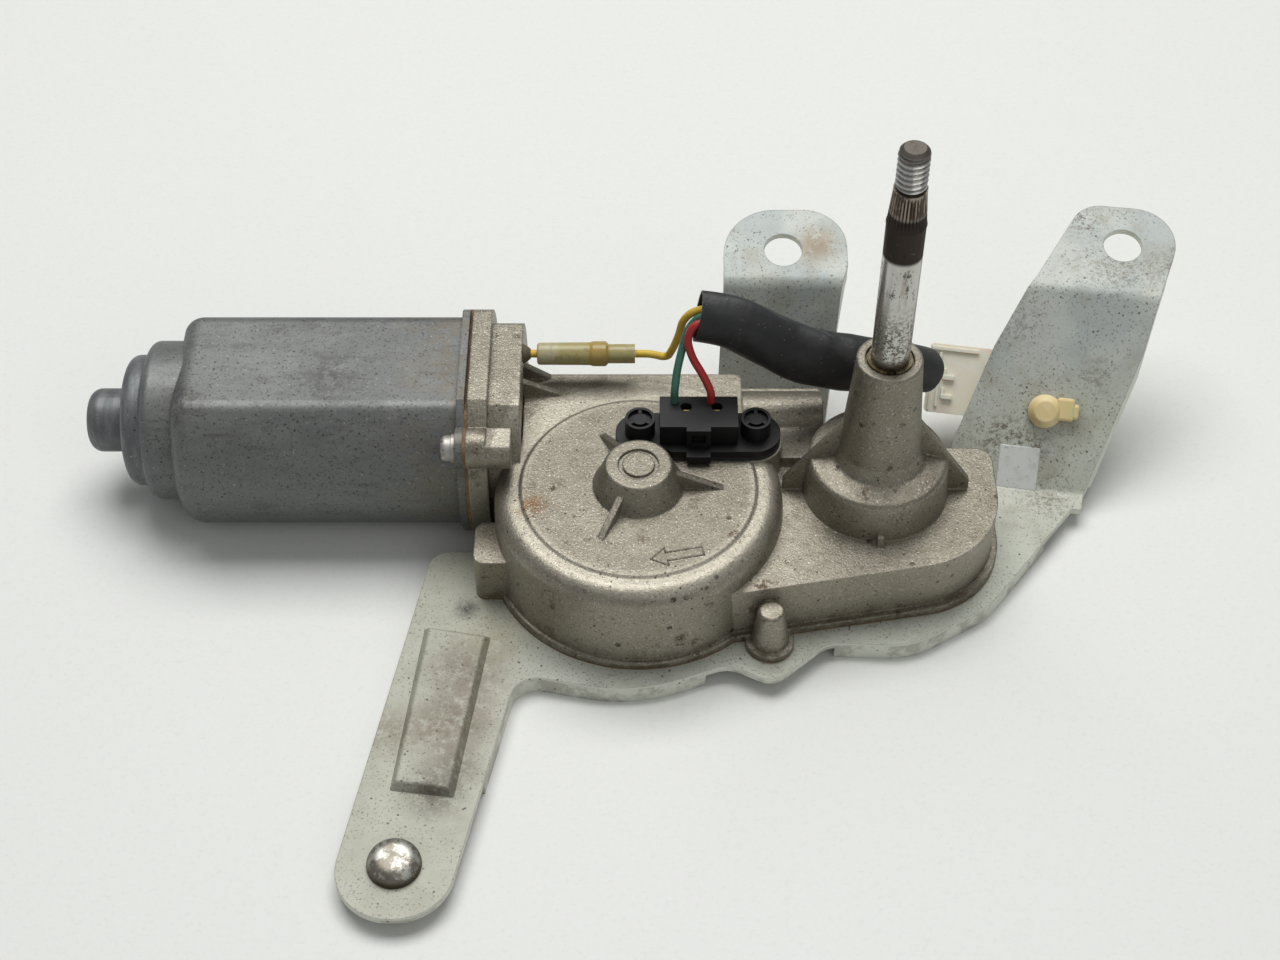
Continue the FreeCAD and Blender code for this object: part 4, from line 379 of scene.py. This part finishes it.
# A lighter copy of the plate's steel for the gusset: painted light, for a face that catches more light
def lit_plate_steel():
    look = Look("lit_plate_steel", (0.56, 0.58, 0.55), 0.36, 0.15, edge=0.45)
    look.paint(look.span(look.noise(5, 5, 0.7), 0.50, 0.66), (0.40, 0.41, 0.37), 0.6)
    dirt = look.span(look.noise(1.6, 6, 0.8, shift=(2, 4, 1)), 0.58, 0.66)
    look.paint(dirt, (0.12, 0.10, 0.07), 0.6)
    look.roughen(look.noise(7, 6, 0.7), 0.22)
    return look.done()


def bright_steel():
    look = Look("steel", (0.58, 0.56, 0.53), 0.28, 0.95, edge=0.2)
    look.paint(look.span(look.noise(4, 5, 0.7), 0.52, 0.72), (0.28, 0.22, 0.16), 0.45)
    look.paint(look.span(look.noise(9, 3), 0.5, 0.65), (0.66, 0.65, 0.63), 0.5)
    look.roughen(look.noise(3, 5, 0.7), 0.3)
    look.raise_by(look.noise(0.6, 2, stretch=(1, 1, 0.2)), 0.006)
    return look.done()


def shaft_steel():
    look = Look("shaft_steel", (0.56, 0.55, 0.52), 0.24, 0.95)
    z = look.axis("Z")
    r = look.radius()
    streak = look.span(look.noise(3, 5, 0.7, stretch=(1, 1, 0.15)), 0.52, 0.66)
    look.paint(streak, (0.32, 0.275, 0.21), 0.5)
    low = look.span(z, 0.026, 0.010)
    pits = look.both(low, look.span(look.noise(0.9, 5, 0.8), 0.46, 0.56))
    look.paint(pits, (0.07, 0.06, 0.04), 0.8)
    middle = look.both(look.span(z, 0.018, 0.026), look.span(z, 0.036, 0.034))
    marks = look.span(look.noise(2.6, 6, 0.8, stretch=(1, 1, 0.6), shift=(3, 1, 7)), 0.55, 0.60)
    look.paint(look.both(marks, middle), (0.06, 0.05, 0.035), 0.85)
    band = look.both(look.span(z, 0.0355, 0.0370), look.span(z, 0.0512, 0.0495))
    ragged = look.both(look.span(look.noise(2.6, 5, 0.7), 0.24, 0.36), band)
    look.paint(ragged, (0.032, 0.021, 0.015), 0.96)
    knurl = look.both(look.span(z, 0.0495, 0.0512), look.span(z, 0.0580, 0.0572))
    look.paint(knurl, (0.060, 0.036, 0.022), 0.92)
    above_taper = look.math("ADD", r, look.math("MULTIPLY", z, TAPER_PER_METRE))
    crest = look.both(knurl, look.span(above_taper, 8.45, 8.62))
    worn = look.both(crest, look.span(look.noise(2.2, 5, 0.7, stretch=(1, 1, 0.25)), 0.46, 0.56))
    look.paint(worn, (0.42, 0.37, 0.30), 0.8)
    # Thread roots painted darker and crests painted near white: painted shade and painted highlights
    thread = look.span(z, 0.0578, 0.0585)
    root = look.both(thread, look.span(r, 3.62, 3.35))
    look.paint(root, (0.12, 0.105, 0.08), 0.55)
    crown = look.both(thread, look.span(r, 3.62, 3.75))
    look.paint(crown, (0.88, 0.87, 0.84), 0.9)
    tip = look.span(z, 0.0662, 0.0670)
    look.paint(tip, (0.09, 0.075, 0.062), 0.8)
    mouth = look.span(z, 0.004, 0.0)
    look.paint(mouth, (0.13, 0.10, 0.05), 0.8)
    for mask, amount in ((ragged, 0.35), (knurl, 0.25), (tip, 0.3), (streak, 0.15), (pits, 0.3)):
        look.roughen(mask, amount)
    look.raise_by(look.noise(0.8, 3), 0.02)
    return look.done()


def stud_steel():
    look = Look("stud_steel", (0.50, 0.49, 0.45), 0.34, 0.95)
    look.paint(look.span(look.noise(5, 6, 0.75), 0.46, 0.54), (0.17, 0.15, 0.11), 0.8)
    rim = look.span(look.axis("Z"), -0.0660, -0.0680)
    look.paint(rim, (0.075, 0.055, 0.035), 0.85)
    look.roughen(look.noise(3, 5, 0.7), 0.3)
    look.raise_by(look.noise(3, 3), 0.12)
    return look.done()


def grease():
    look = Look("grease", (0.10, 0.075, 0.035), 0.35, 0.3)
    look.paint(look.span(look.noise(2, 5, 0.7), 0.48, 0.62), (0.30, 0.25, 0.13), 0.6)
    look.raise_by(look.noise(1.2, 3), 0.05)
    return look.done()


def plastic(name, colour, rough=0.5, other=None, dusty=0.22, **constants):
    look = Look(name, colour, rough, 0.0, edge=0.25)
    other = other or tuple(min(1.0, c * 1.35 + 0.01) for c in colour)
    look.paint(look.span(look.noise(6, 4), 0.45, 0.68), other, 0.5)
    dust = look.span(look.noise(1.6, 6, 0.8), 0.62, 0.72)
    look.paint(dust, (0.30, 0.27, 0.23), dusty)
    look.roughen(look.noise(3, 4), 0.18)
    look.raise_by(look.noise(0.7, 3), 0.02)
    return look.done(**constants)


def plain_metal(name, colour, rough, metallic=0.9):
    look = Look(name, colour, rough, metallic, edge=0.2)
    look.paint(look.span(look.noise(3, 5, 0.7), 0.5, 0.72), tuple(c * 0.55 for c in colour), 0.5)
    look.roughen(look.noise(2, 4), 0.2)
    look.raise_by(look.noise(0.5, 3), 0.01)
    return look.done()


def screw_metal():
    look = Look("screw_steel", (0.46, 0.44, 0.41), 0.38, 0.85, edge=0.25)
    look.paint(look.span(look.noise(1.6, 5, 0.7), 0.5, 0.66), (0.15, 0.11, 0.08), 0.7)
    look.roughen(look.noise(1, 4), 0.3)
    return look.done()


def gasket_board():
    look = Look("gasket", (0.15, 0.085, 0.04), 0.75, 0.0)
    look.paint(look.span(look.noise(3, 6, 0.75), 0.45, 0.65), (0.30, 0.20, 0.10), 0.6)
    look.raise_by(look.noise(0.5, 3), 0.03)
    return look.done()


def sleeve_rubber():
    look = Look("sleeve_rubber", (0.014, 0.014, 0.015), 0.42)
    look.paint(look.span(look.noise(14, 3), 0.45, 0.65), (0.030, 0.030, 0.031), 0.7)
    dust = look.span(look.cells(1.7), 0.10, 0.04)
    look.paint(dust, (0.42, 0.40, 0.37), 0.55)
    scuff = look.span(look.noise(2.4, 6, 0.8, stretch=(1, 1, 0.4)), 0.62, 0.74)
    look.paint(scuff, (0.13, 0.125, 0.12), 0.45)
    look.roughen(look.noise(5, 4), 0.2)
    look.raise_by(look.noise(7, 3), 0.5)
    look.raise_by(look.noise(1.2, 3), 0.03)
    return look.done()


def clear_sleeve():
    look = Look("clear_sleeve", (0.42, 0.37, 0.16), 0.30)
    barrel = look.both(look.span(look.axis("X"), -0.0795, -0.0785),
                       look.span(look.axis("X"), -0.0725, -0.0735))
    # The left end is painted lighter: a painted highlight
    look.paint(look.span(look.axis("X"), -0.0865, -0.0885), (0.52, 0.48, 0.33), 0.7)
    look.paint(barrel, (0.42, 0.29, 0.07), 0.75)
    look.paint(look.span(look.noise(2.5, 5, 0.7), 0.52, 0.68), (0.24, 0.17, 0.06), 0.5)
    look.raise_by(look.noise(2, 3), 0.05)
    return look.done(Transmission_Weight=0.15, IOR=1.45, Subsurface_Weight=0.4, Subsurface_Scale=0.002)


MATERIALS = {
    "cast": cast_metal(),
    "can_steel": can_metal(),
    "plate_steel": plate_metal(),
    "steel": bright_steel(),
    "screw_steel": screw_metal(),
    "bronze": plain_metal("bronze", (0.42, 0.26, 0.11), 0.45),
    "brass": plain_metal("brass", (0.60, 0.44, 0.17), 0.35),
    "copper": plain_metal("copper", (0.52, 0.22, 0.10), 0.35),
    "black_rubber": plastic("black_rubber", (0.016, 0.016, 0.018), 0.55),
    "gasket": gasket_board(),
    "black_plastic": plastic("black_plastic", (0.005, 0.005, 0.006), 0.36, (0.009, 0.009, 0.010),
                             dusty=0.08, Specular_IOR_Level=0.32),
    "white_plastic": plastic("white_plastic", (0.74, 0.70, 0.58), 0.35, (0.82, 0.80, 0.72),
                             Subsurface_Weight=0.3, Subsurface_Scale=0.003),
    "gear_plastic": plastic("gear_plastic", (0.60, 0.54, 0.38), 0.45),
    "clip_plastic": plastic("clip_plastic", (0.66, 0.53, 0.26), 0.4, (0.76, 0.66, 0.42),
                            Subsurface_Weight=0.3, Subsurface_Scale=0.002),
    "brown_board": plastic("brown_board", (0.13, 0.06, 0.03), 0.6),
    "ferrite": plain_metal("ferrite", (0.06, 0.06, 0.065), 0.7, 0.3),
    "iron": plain_metal("iron", (0.16, 0.16, 0.165), 0.5),
    "carbon": plain_metal("carbon", (0.03, 0.03, 0.03), 0.6, 0.2),
    "yellow_pvc": plastic("yellow_pvc", (0.62, 0.40, 0.035), 0.42, (0.70, 0.50, 0.08)),
    "red_pvc": plastic("red_pvc", (0.36, 0.018, 0.018), 0.42, (0.42, 0.04, 0.035), dusty=0.1),
    "green_pvc": plastic("green_pvc", (0.035, 0.13, 0.085), 0.42, (0.06, 0.17, 0.12)),
    "tin": plain_metal("tin", (0.62, 0.61, 0.58), 0.3),
    "clear_plastic": clear_sleeve(),
}


def dress(obj, material):
    obj.data.materials.clear()
    obj.data.materials.append(material)


for part in frame["record"]["subparts"]:
    dress(NODES[part["node"]], MATERIALS[part["material_slot"]])
dress(NODES["locating_stud"], stud_steel())
dress(NODES["lead_grommet"], plastic("old_rubber", (0.10, 0.08, 0.045), 0.6))
GREASE = grease()
for ring_name in ("shaft_circlip", "shaft_washer"):
    dress(NODES[ring_name], GREASE)


def piece(name, verts, faces, material, body="case", smooth=True):
    """A new mesh in the model's frame, given in millimetres, that rides on a body."""
    mesh = bpy.data.meshes.new(name)
    mesh.from_pydata([tuple(float(c) * MM for c in v) for v in verts], [], faces)
    mesh.validate()
    mesh.update()
    obj = bpy.data.objects.new(name, mesh)
    bpy.context.scene.collection.objects.link(obj)
    if smooth:
        mesh.polygons.foreach_set("use_smooth", [True] * len(mesh.polygons))
    dress(obj, material)
    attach(obj, body)
    return obj


def wrapped_grid(rows, columns, closed_ends=True):
    """Faces of rows of points that close round, each row's points in order."""
    faces = []
    for i in range(rows - 1):
        for j in range(columns):
            k = (j + 1) % columns
            faces.append((i * columns + j, i * columns + k, (i + 1) * columns + k, (i + 1) * columns + j))
    if closed_ends:
        faces.append(tuple(range(columns - 1, -1, -1)))
        faces.append(tuple(range((rows - 1) * columns, rows * columns)))
    return faces


# Output shaft: plain stretch, knurled taper and thread as one surface. Heights and radii are in
# millimetres, and what fades does so over a number of steps.

ROUND = 96
MOUTH_GROOVE = [(-1.0, 5.0), (-1.0, 4.5), (0.0, 4.5), (0.0, 5.0)]
SHAFT_PROFILE = [(-67.8, 2.7), (-67.3, 3.2), (-57.3, 3.2), (-57.3, 7.0), (-53.9, 7.0), (-53.9, 5.0),
                 *MOUTH_GROOVE, (34.6, 5.0), (34.7, 4.97), (46.3, 4.97)]
TAPER_START, TAPER_END, TAPER_STEPS = 46.3, 57.3, 16
TAPER_FOOT, TAPER_HEAD = 4.97, 4.1
KNURL_TEETH, KNURL_RISE, KNURL_DEPTH, KNURL_FADE = 32, 0.12, 0.42, 2
NECK_RADIUS, NECK_LENGTH = 3.35, 0.5
THREAD_START, THREAD_END, THREAD_STEPS = 58.5, 68.4, 110
THREAD_RADIUS, THREAD_PITCH, THREAD_DEPTH = 3.98, 1.6, 0.78
THREAD_MARGIN, THREAD_FADE_IN, THREAD_FADE_OUT, THREAD_LOSS = 0.4, 6, 8, 0.25
FLANK_SHARPNESS = 1.25
SHAFT_END, TIP_CHAMFER, TIP_FOOT, TIP_HEAD = 69.4, 0.5, 3.3, 2.7


def knurled_ring(step):
    """Radii round the knurled taper at one of its steps."""
    base = TAPER_FOOT + (TAPER_HEAD - TAPER_FOOT) * step / TAPER_STEPS
    fade = min(1.0, step / KNURL_FADE, (TAPER_STEPS - step) / KNURL_FADE)
    ring = []
    for j in range(ROUND):
        wave = abs(((j * KNURL_TEETH / ROUND) % 1.0) * 2 - 1)
        ring.append(base + KNURL_RISE - KNURL_DEPTH * fade * wave)
    return ring


def threaded_ring(step, z):
    """Radii round the thread at one of its steps, which lies at this height."""
    fade = min(1.0, step / THREAD_FADE_IN, (THREAD_STEPS - step) / THREAD_FADE_OUT)
    ring = []
    for j in range(ROUND):
        turn = (z / THREAD_PITCH - j / ROUND) % 1.0
        wave = min(1, abs(turn * 2 - 1) * FLANK_SHARPNESS)
        ring.append(THREAD_RADIUS - THREAD_DEPTH * fade * wave - (1 - fade) * THREAD_LOSS)
    return ring


def shaft_surface():
    rows = [(z, [r] * ROUND) for z, r in SHAFT_PROFILE]
    for step in range(TAPER_STEPS + 1):
        z = TAPER_START + (TAPER_END - TAPER_START) * step / TAPER_STEPS
        rows.append((z, knurled_ring(step)))
    rows += [(TAPER_END, [NECK_RADIUS] * ROUND), (TAPER_END + NECK_LENGTH, [NECK_RADIUS] * ROUND)]
    for step in range(THREAD_STEPS + 1):
        z = THREAD_START - THREAD_MARGIN + (THREAD_END + THREAD_MARGIN - THREAD_START) * step / THREAD_STEPS
        rows.append((z, threaded_ring(step, z)))
    rows += [(SHAFT_END - TIP_CHAMFER, [TIP_FOOT] * ROUND), (SHAFT_END, [TIP_HEAD] * ROUND)]
    verts = []
    for z, ring in rows:
        for j, r in enumerate(ring):
            a = 2 * math.pi * j / ROUND
            verts.append((r * math.cos(a), r * math.sin(a), z))
    return verts, wrapped_grid(len(rows), ROUND)


def smooth_below(obj, degrees):
    """Shades an object smooth, with edges sharper than this kept crisp."""
    mesh = bmesh.new()
    mesh.from_mesh(obj.data)
    limit = math.radians(degrees)
    for edge in mesh.edges:
        edge.smooth = len(edge.link_faces) == 2 and edge.calc_face_angle(0) < limit
    mesh.to_mesh(obj.data)
    mesh.free()


verts, faces = shaft_surface()
turned_shaft = piece("turned_shaft", verts, faces, shaft_steel(), "output")
smooth_below(turned_shaft, 38)
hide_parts("output_shaft")

# Sleeve round the wires: a soft tube, flattened and creased

SLEEVE_LINE = [(-49.0, 25, 61.6), (-41, 25.2, 60.2), (-34.6, 25, 57.0), (-28.4, 24.8, 52.6),
               (-22, 25, 48.6), (-14.8, 25.2, 45.4), (-6.5, 25.4, 43.4), (3, 26.2, 42.0),
               (12.0, 27.8, 39.0), (15.4, 29.7, 36.6)]
SLEEVE_WALL, SLEEVE_RADIUS, SLEEVE_ROUND = 0.75, 7, 48


def smooth_line(points):
    """Points along the NURBS curve of these control points, in millimetres."""
    curve = bpy.data.curves.new("line", "CURVE")
    curve.dimensions = "3D"
    curve.resolution_u = 10
    spline = curve.splines.new("NURBS")
    spline.points.add(len(points) - 1)
    for point, (x, y, z) in zip(spline.points, points):
        point.co = (x, y, z, 1)
    spline.order_u = 3
    spline.use_endpoint_u = True
    holder = bpy.data.objects.new("line", curve)
    mesh = bpy.data.meshes.new_from_object(holder)
    line = [v.co.copy() for v in mesh.vertices]
    bpy.data.objects.remove(holder)
    bpy.data.curves.remove(curve)
    bpy.data.meshes.remove(mesh)
    return line


def between(value, table):
    """Value of a table of (place, number) pairs, straight between them."""
    return float(np.interp(value, [t[0] for t in table], [t[1] for t in table]))


# Half its height, half its depth and its twist in degrees, by the share of its length

SLEEVE_TALL = [(0, 7.4), (0.12, 7.8), (0.35, 8.2), (0.52, 9.4), (0.66, 9.2), (0.80, 7.6), (1, 6.4)]
SLEEVE_DEEP = [(0, 4.6), (0.2, 4.9), (0.45, 6.6), (0.65, 7.2), (0.85, 6.8), (1, 6.2)]
SLEEVE_TURN = [(0, -18), (0.3, -8), (0.6, 12), (0.8, 6), (1, 0)]

# One crease winds round the sleeve from its first end. The ripples have a depth, a number of waves round
# the sleeve, and the angle in radians by which they wind from end to end.

CREASE_DEPTH, CREASE_START, CREASE_DRIFT, CREASE_WIDTH, CREASE_FADE = 0.55, 1.3, 2.4, 0.03, 1.4
CREASE_MIDDLE = 0.2
RIPPLES = ((0.16, 3, 9), (0.10, 5, -17))


def sleeve_ring(line, i, shrink):
    """One ring of the sleeve's skin, with the crease and ripples of soft rubber."""
    share = i / (len(line) - 1)
    here = line[i]
    ahead = (line[min(i + 1, len(line) - 1)] - line[max(i - 1, 0)]).normalized()
    side = Vector((0, 1, 0)).cross(ahead).normalized()
    inward = ahead.cross(side).normalized()
    turn = math.radians(between(share, SLEEVE_TURN))
    ring = []
    for j in range(SLEEVE_ROUND):
        a = 2 * math.pi * j / SLEEVE_ROUND
        off = (a - CREASE_START - CREASE_DRIFT * share) % (2 * math.pi) - CREASE_MIDDLE
        crease = CREASE_DEPTH * math.exp(-off ** 2 / CREASE_WIDTH)
        crease *= math.sin(math.pi * min(1, share * CREASE_FADE))
        ripple = sum(depth * math.sin(around * a + along * share) for depth, around, along in RIPPLES)
        swell = 1 + (ripple - crease) / SLEEVE_RADIUS
        tall = (between(share, SLEEVE_TALL) - shrink) * swell * math.cos(a)
        deep = (between(share, SLEEVE_DEEP) - shrink) * swell * math.sin(a)
        ring.append(here + side * (tall * math.cos(turn) - deep * math.sin(turn))
                    + inward * (tall * math.sin(turn) + deep * math.cos(turn)))
    return ring


def sleeve_surface():
    line = smooth_line([(x, y, z - MOUTH) for x, y, z in SLEEVE_LINE])
    outer = [sleeve_ring(line, i, 0.0) for i in range(len(line))]
    inner = [sleeve_ring(line, i, SLEEVE_WALL) for i in range(len(line) - 1, -1, -1)]
    rings = outer + inner
    verts = [point for ring in rings for point in ring]
    faces = wrapped_grid(len(rings), SLEEVE_ROUND, closed_ends=False)
    last = (len(rings) - 1) * SLEEVE_ROUND
    for j in range(SLEEVE_ROUND):
        k = (j + 1) % SLEEVE_ROUND
        faces.append((last + j, last + k, k, j))
    return verts, faces


verts, faces = sleeve_surface()
sleeve = piece("wire_sleeve", verts, faces, sleeve_rubber())
smooth_below(sleeve, 50)
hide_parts("harness_sleeve")

# Ribs in the heads of the switch's posts

POST_SPOTS = ((-64.6, 8.9), (-33.0, 8.9))
POST_TOP = 39.0 - MOUTH
POST_RIB_REACH, POST_RIB_DROP, POST_RIB_SIZE = 2.6, 0.75, (1.5, 1.1, 1.3)


def box(centre, size, turn=0.0):
    """Corner points and faces of a small block, turned about Z."""
    ends = (-0.5, 0.5)
    verts = []
    for x, y, z in [(x, y, z) for z in ends for y in ends for x in ends]:
        dx, dy, dz = x * size[0], y * size[1], z * size[2]
        verts.append((centre[0] + dx * math.cos(turn) - dy * math.sin(turn),
                      centre[1] + dx * math.sin(turn) + dy * math.cos(turn), centre[2] + dz))
    faces = [(0, 2, 3, 1), (4, 5, 7, 6), (0, 1, 5, 4), (2, 6, 7, 3), (0, 4, 6, 2), (1, 3, 7, 5)]
    return verts, faces


def blocks(name, boxes, material, bevel=0.15):
    """Small solids as one piece of the case, with their edges rounded by this many millimetres."""
    verts, faces = [], []
    for one_verts, one_faces in boxes:
        faces += [tuple(i + len(verts) for i in face) for face in one_faces]
        verts += one_verts
    obj = piece(name, verts, faces, material, smooth=False)
    rounding = obj.modifiers.new("edges", "BEVEL")
    rounding.width = bevel * MM
    rounding.segments = 2


post_ribs = []
for x, y in POST_SPOTS:
    for k in range(3):
        a = math.radians(90 + 120 * k)
        dx, dy = POST_RIB_REACH * math.cos(a), POST_RIB_REACH * math.sin(a)
        spot = (x + dx, y + dy, POST_TOP - POST_RIB_DROP)
        post_ribs.append(box(spot, POST_RIB_SIZE, a))
blocks("post_ribs", post_ribs, MATERIALS["black_plastic"])

# Raised arrow on the wheel chamber

ARROW_SPOT = (-54.5, -32.0, 30.25 - MOUTH)
ARROW_TURN = math.radians(12)
ARROW_OUTLINE = [(-7.5, 0), (-3.2, 3.0), (-3.2, 1.4), (6.6, 1.4), (6.6, -1.4), (-3.2, -1.4), (-3.2, -3.0)]
ARROW_LINE, ARROW_DEPTH = 0.45, 0.6


def arrow_outline():
    """The arrow's outline as a raised line."""
    placing = Matrix.Translation(ARROW_SPOT) @ Matrix.Rotation(ARROW_TURN, 4, "Z")
    boxes = []
    for i, (x0, y0) in enumerate(ARROW_OUTLINE):
        x1, y1 = ARROW_OUTLINE[(i + 1) % len(ARROW_OUTLINE)]
        spot = placing @ Vector(((x0 + x1) / 2, (y0 + y1) / 2, -ARROW_DEPTH / 2))
        size = (math.hypot(x1 - x0, y1 - y0) + ARROW_LINE, ARROW_LINE, ARROW_DEPTH)
        boxes.append(box(spot, size, math.atan2(y1 - y0, x1 - x0) + ARROW_TURN))
    return boxes


blocks("direction_arrow", arrow_outline(), MATERIALS["cast"], 0.12)

# Sloping flanks of the left arm's bead

PLATE_TOP = 2.0 - MOUTH
BEAD_TOP = 4.4 - MOUTH
BEAD = [(-121.5, -36.2), (-127.0, -85.6), (-113.4, -87.8), (-106.4, -39.2)]
BEAD_FLANK, BEAD_SKIN, SUNK = 1.7, 0.12, 0.3


def widened(corners, distance):
    """The same four-sided outline, drawn larger from its middle."""
    cx = sum(c[0] for c in corners) / 4
    cy = sum(c[1] for c in corners) / 4
    return [(x + math.copysign(distance, x - cx), y + math.copysign(distance, y - cy)) for x, y in corners]


def frustum(lower, low, upper, high):
    """Corner points and faces of a solid between two level outlines at their heights."""
    verts = [(x, y, low) for x, y in lower] + [(x, y, high) for x, y in upper]
    count = len(lower)
    faces = [tuple(range(count - 1, -1, -1)), tuple(range(count, 2 * count))]
    faces += [(i, (i + 1) % count, count + (i + 1) % count, count + i) for i in range(count)]
    return verts, faces


bead_flanks = frustum(widened(BEAD, BEAD_FLANK), PLATE_TOP - SUNK, BEAD, BEAD_TOP + BEAD_SKIN)
blocks("bead_flanks", [bead_flanks], MATERIALS["plate_steel"], 0.5)

# Pressed gusset across the right arm's fold

ARM_FOOT = (62.2, 13.7)
ARM_TURN = math.radians(-9.2)
ARM_TILT = math.radians(45.35)


def on_arm(across, along, lift):
    """A spot over the right arm or, in front of its fold, over the plate."""
    x = ARM_FOOT[0] + across * math.cos(ARM_TURN) - along * math.sin(ARM_TURN)
    y = ARM_FOOT[1] + across * math.sin(ARM_TURN) + along * math.cos(ARM_TURN)
    return x, y, PLATE_TOP + max(0.0, along) * math.tan(ARM_TILT) + lift


GUSSET_SIDES = (-25.0, -13.4)
GUSSET_FRONT, GUSSET_BACK = -0.6, 8.4
GUSSET_OUTLINE = [(GUSSET_FRONT, 0.1), (GUSSET_BACK, 0.1), (GUSSET_BACK, -1.0),
                  (0, -0.6), (GUSSET_FRONT, -0.6)]
gusset_verts = [on_arm(across, along, lift) for across in GUSSET_SIDES for along, lift in GUSSET_OUTLINE]
gusset_faces = [(4, 3, 2, 1, 0), (5, 6, 7, 8, 9)]
for i in range(5):
    k = (i + 1) % 5
    gusset_faces.append((i, k, 5 + k, 5 + i))
blocks("fold_gusset", [(gusset_verts, gusset_faces)], lit_plate_steel(), 0.7)

# What is moulded on the connector and its clip, in the frame of the clip's hole in the arm

CLIP_SPOT = (51.218, 31.586, 18.096 - MOUTH)
ARM_DIRECTION = Matrix.Rotation(ARM_TURN, 4, "Z") @ Matrix.Rotation(ARM_TILT, 4, "X")
CLIP_FRAME = Matrix.Translation(CLIP_SPOT) @ ARM_DIRECTION
HOUSING_TOP = -3.4
LUG_PLACES = (6.4, 0.8)


def clip_box(centre, size):
    """A block that is placed in the clip's frame."""
    verts, faces = box(centre, size)
    return [CLIP_FRAME @ Vector(v) for v in verts], faces


housing_ribs = [clip_box((-27.0, 14.6, HOUSING_TOP + 0.3), (13.4, 1.2, 1.0)),
                clip_box((-31.0, 5.6, HOUSING_TOP + 0.2), (0.9, 16.0, 0.8)),
                clip_box((-33.0, 5.6, HOUSING_TOP + 0.1), (0.6, 18.4, 0.6))]
for lug_y in LUG_PLACES:
    housing_ribs.append(clip_box((-28.2, lug_y, HOUSING_TOP + 0.5), (3.4, 1.5, 1.4)))
    housing_ribs.append(clip_box((-29.4, lug_y + 1.3, HOUSING_TOP + 0.4), (0.9, 2.6, 1.2)))
blocks("housing_ribs", housing_ribs, MATERIALS["white_plastic"], 0.2)
tongue = [clip_box((5.6, 1.1, 2.0), (5.0, 6.6, 2.6)), clip_box((7.4, 0.7, 1.8), (4.2, 4.4, 2.4))]
blocks("clip_tongue", tongue, MATERIALS["clip_plastic"], 0.8)

# Camera, floor and light, in metres

CAMERA_SPOT = (-0.0646, -0.3950, 0.3916)
CAMERA_TILT = math.radians(42)
LIT_SPOT = (-0.05, 0.0, -0.05)
REACH = 12.0
FLOOR_CORNERS = [(-REACH, -REACH, FLOOR_Z), (REACH, -REACH, FLOOR_Z),
                 (REACH, REACH, FLOOR_Z), (-REACH, REACH, FLOOR_Z)]

camera_data = bpy.data.cameras.new("camera")
camera_data.sensor_width = 36
camera_data.lens = 60.47
camera_data.clip_start, camera_data.clip_end = 0.01, 20
camera = bpy.data.objects.new("camera", camera_data)
camera.location = CAMERA_SPOT
camera.rotation_euler = (CAMERA_TILT, 0, 0)
bpy.context.scene.collection.objects.link(camera)
bpy.context.scene.camera = camera

floor_mesh = bpy.data.meshes.new("floor")
floor_mesh.from_pydata(FLOOR_CORNERS, [], [(0, 1, 2, 3)])
floor = bpy.data.objects.new("floor", floor_mesh)
bpy.context.scene.collection.objects.link(floor)
floor_look = Look("floor", (0.73, 0.735, 0.705), 0.55)
floor_look.paint(floor_look.span(floor_look.noise(1.2, 3, 0.7), 0.50, 0.75), (0.66, 0.665, 0.635), 0.6)
floor_look.raise_by(floor_look.noise(0.9, 2), 0.015)
dress(floor, floor_look.done())


def soft_light(name, spot, size, watts):
    """An oblong area light that is turned towards the object."""
    data = bpy.data.lights.new(name, "AREA")
    data.shape = "RECTANGLE"
    data.size, data.size_y = size
    data.energy = watts
    lamp = bpy.data.objects.new(name, data)
    lamp.location = spot
    lamp.rotation_euler = (Vector(LIT_SPOT) - Vector(spot)).to_track_quat("-Z", "Y").to_euler()
    bpy.context.scene.collection.objects.link(lamp)


soft_light("key", (-0.10, 0.50, 1.25), (1.2, 0.8), 19)
soft_light("fill", (0.5, -0.9, 0.9), (1.2, 1.2), 3)
world = bpy.data.worlds.new("world")
world.use_nodes = True
background = world.node_tree.nodes["Background"]
background.inputs["Color"].default_value = (0.95, 0.98, 1.0, 1)
background.inputs["Strength"].default_value = 0.25
bpy.context.scene.world = world
bpy.context.scene.view_settings.view_transform = "Standard"
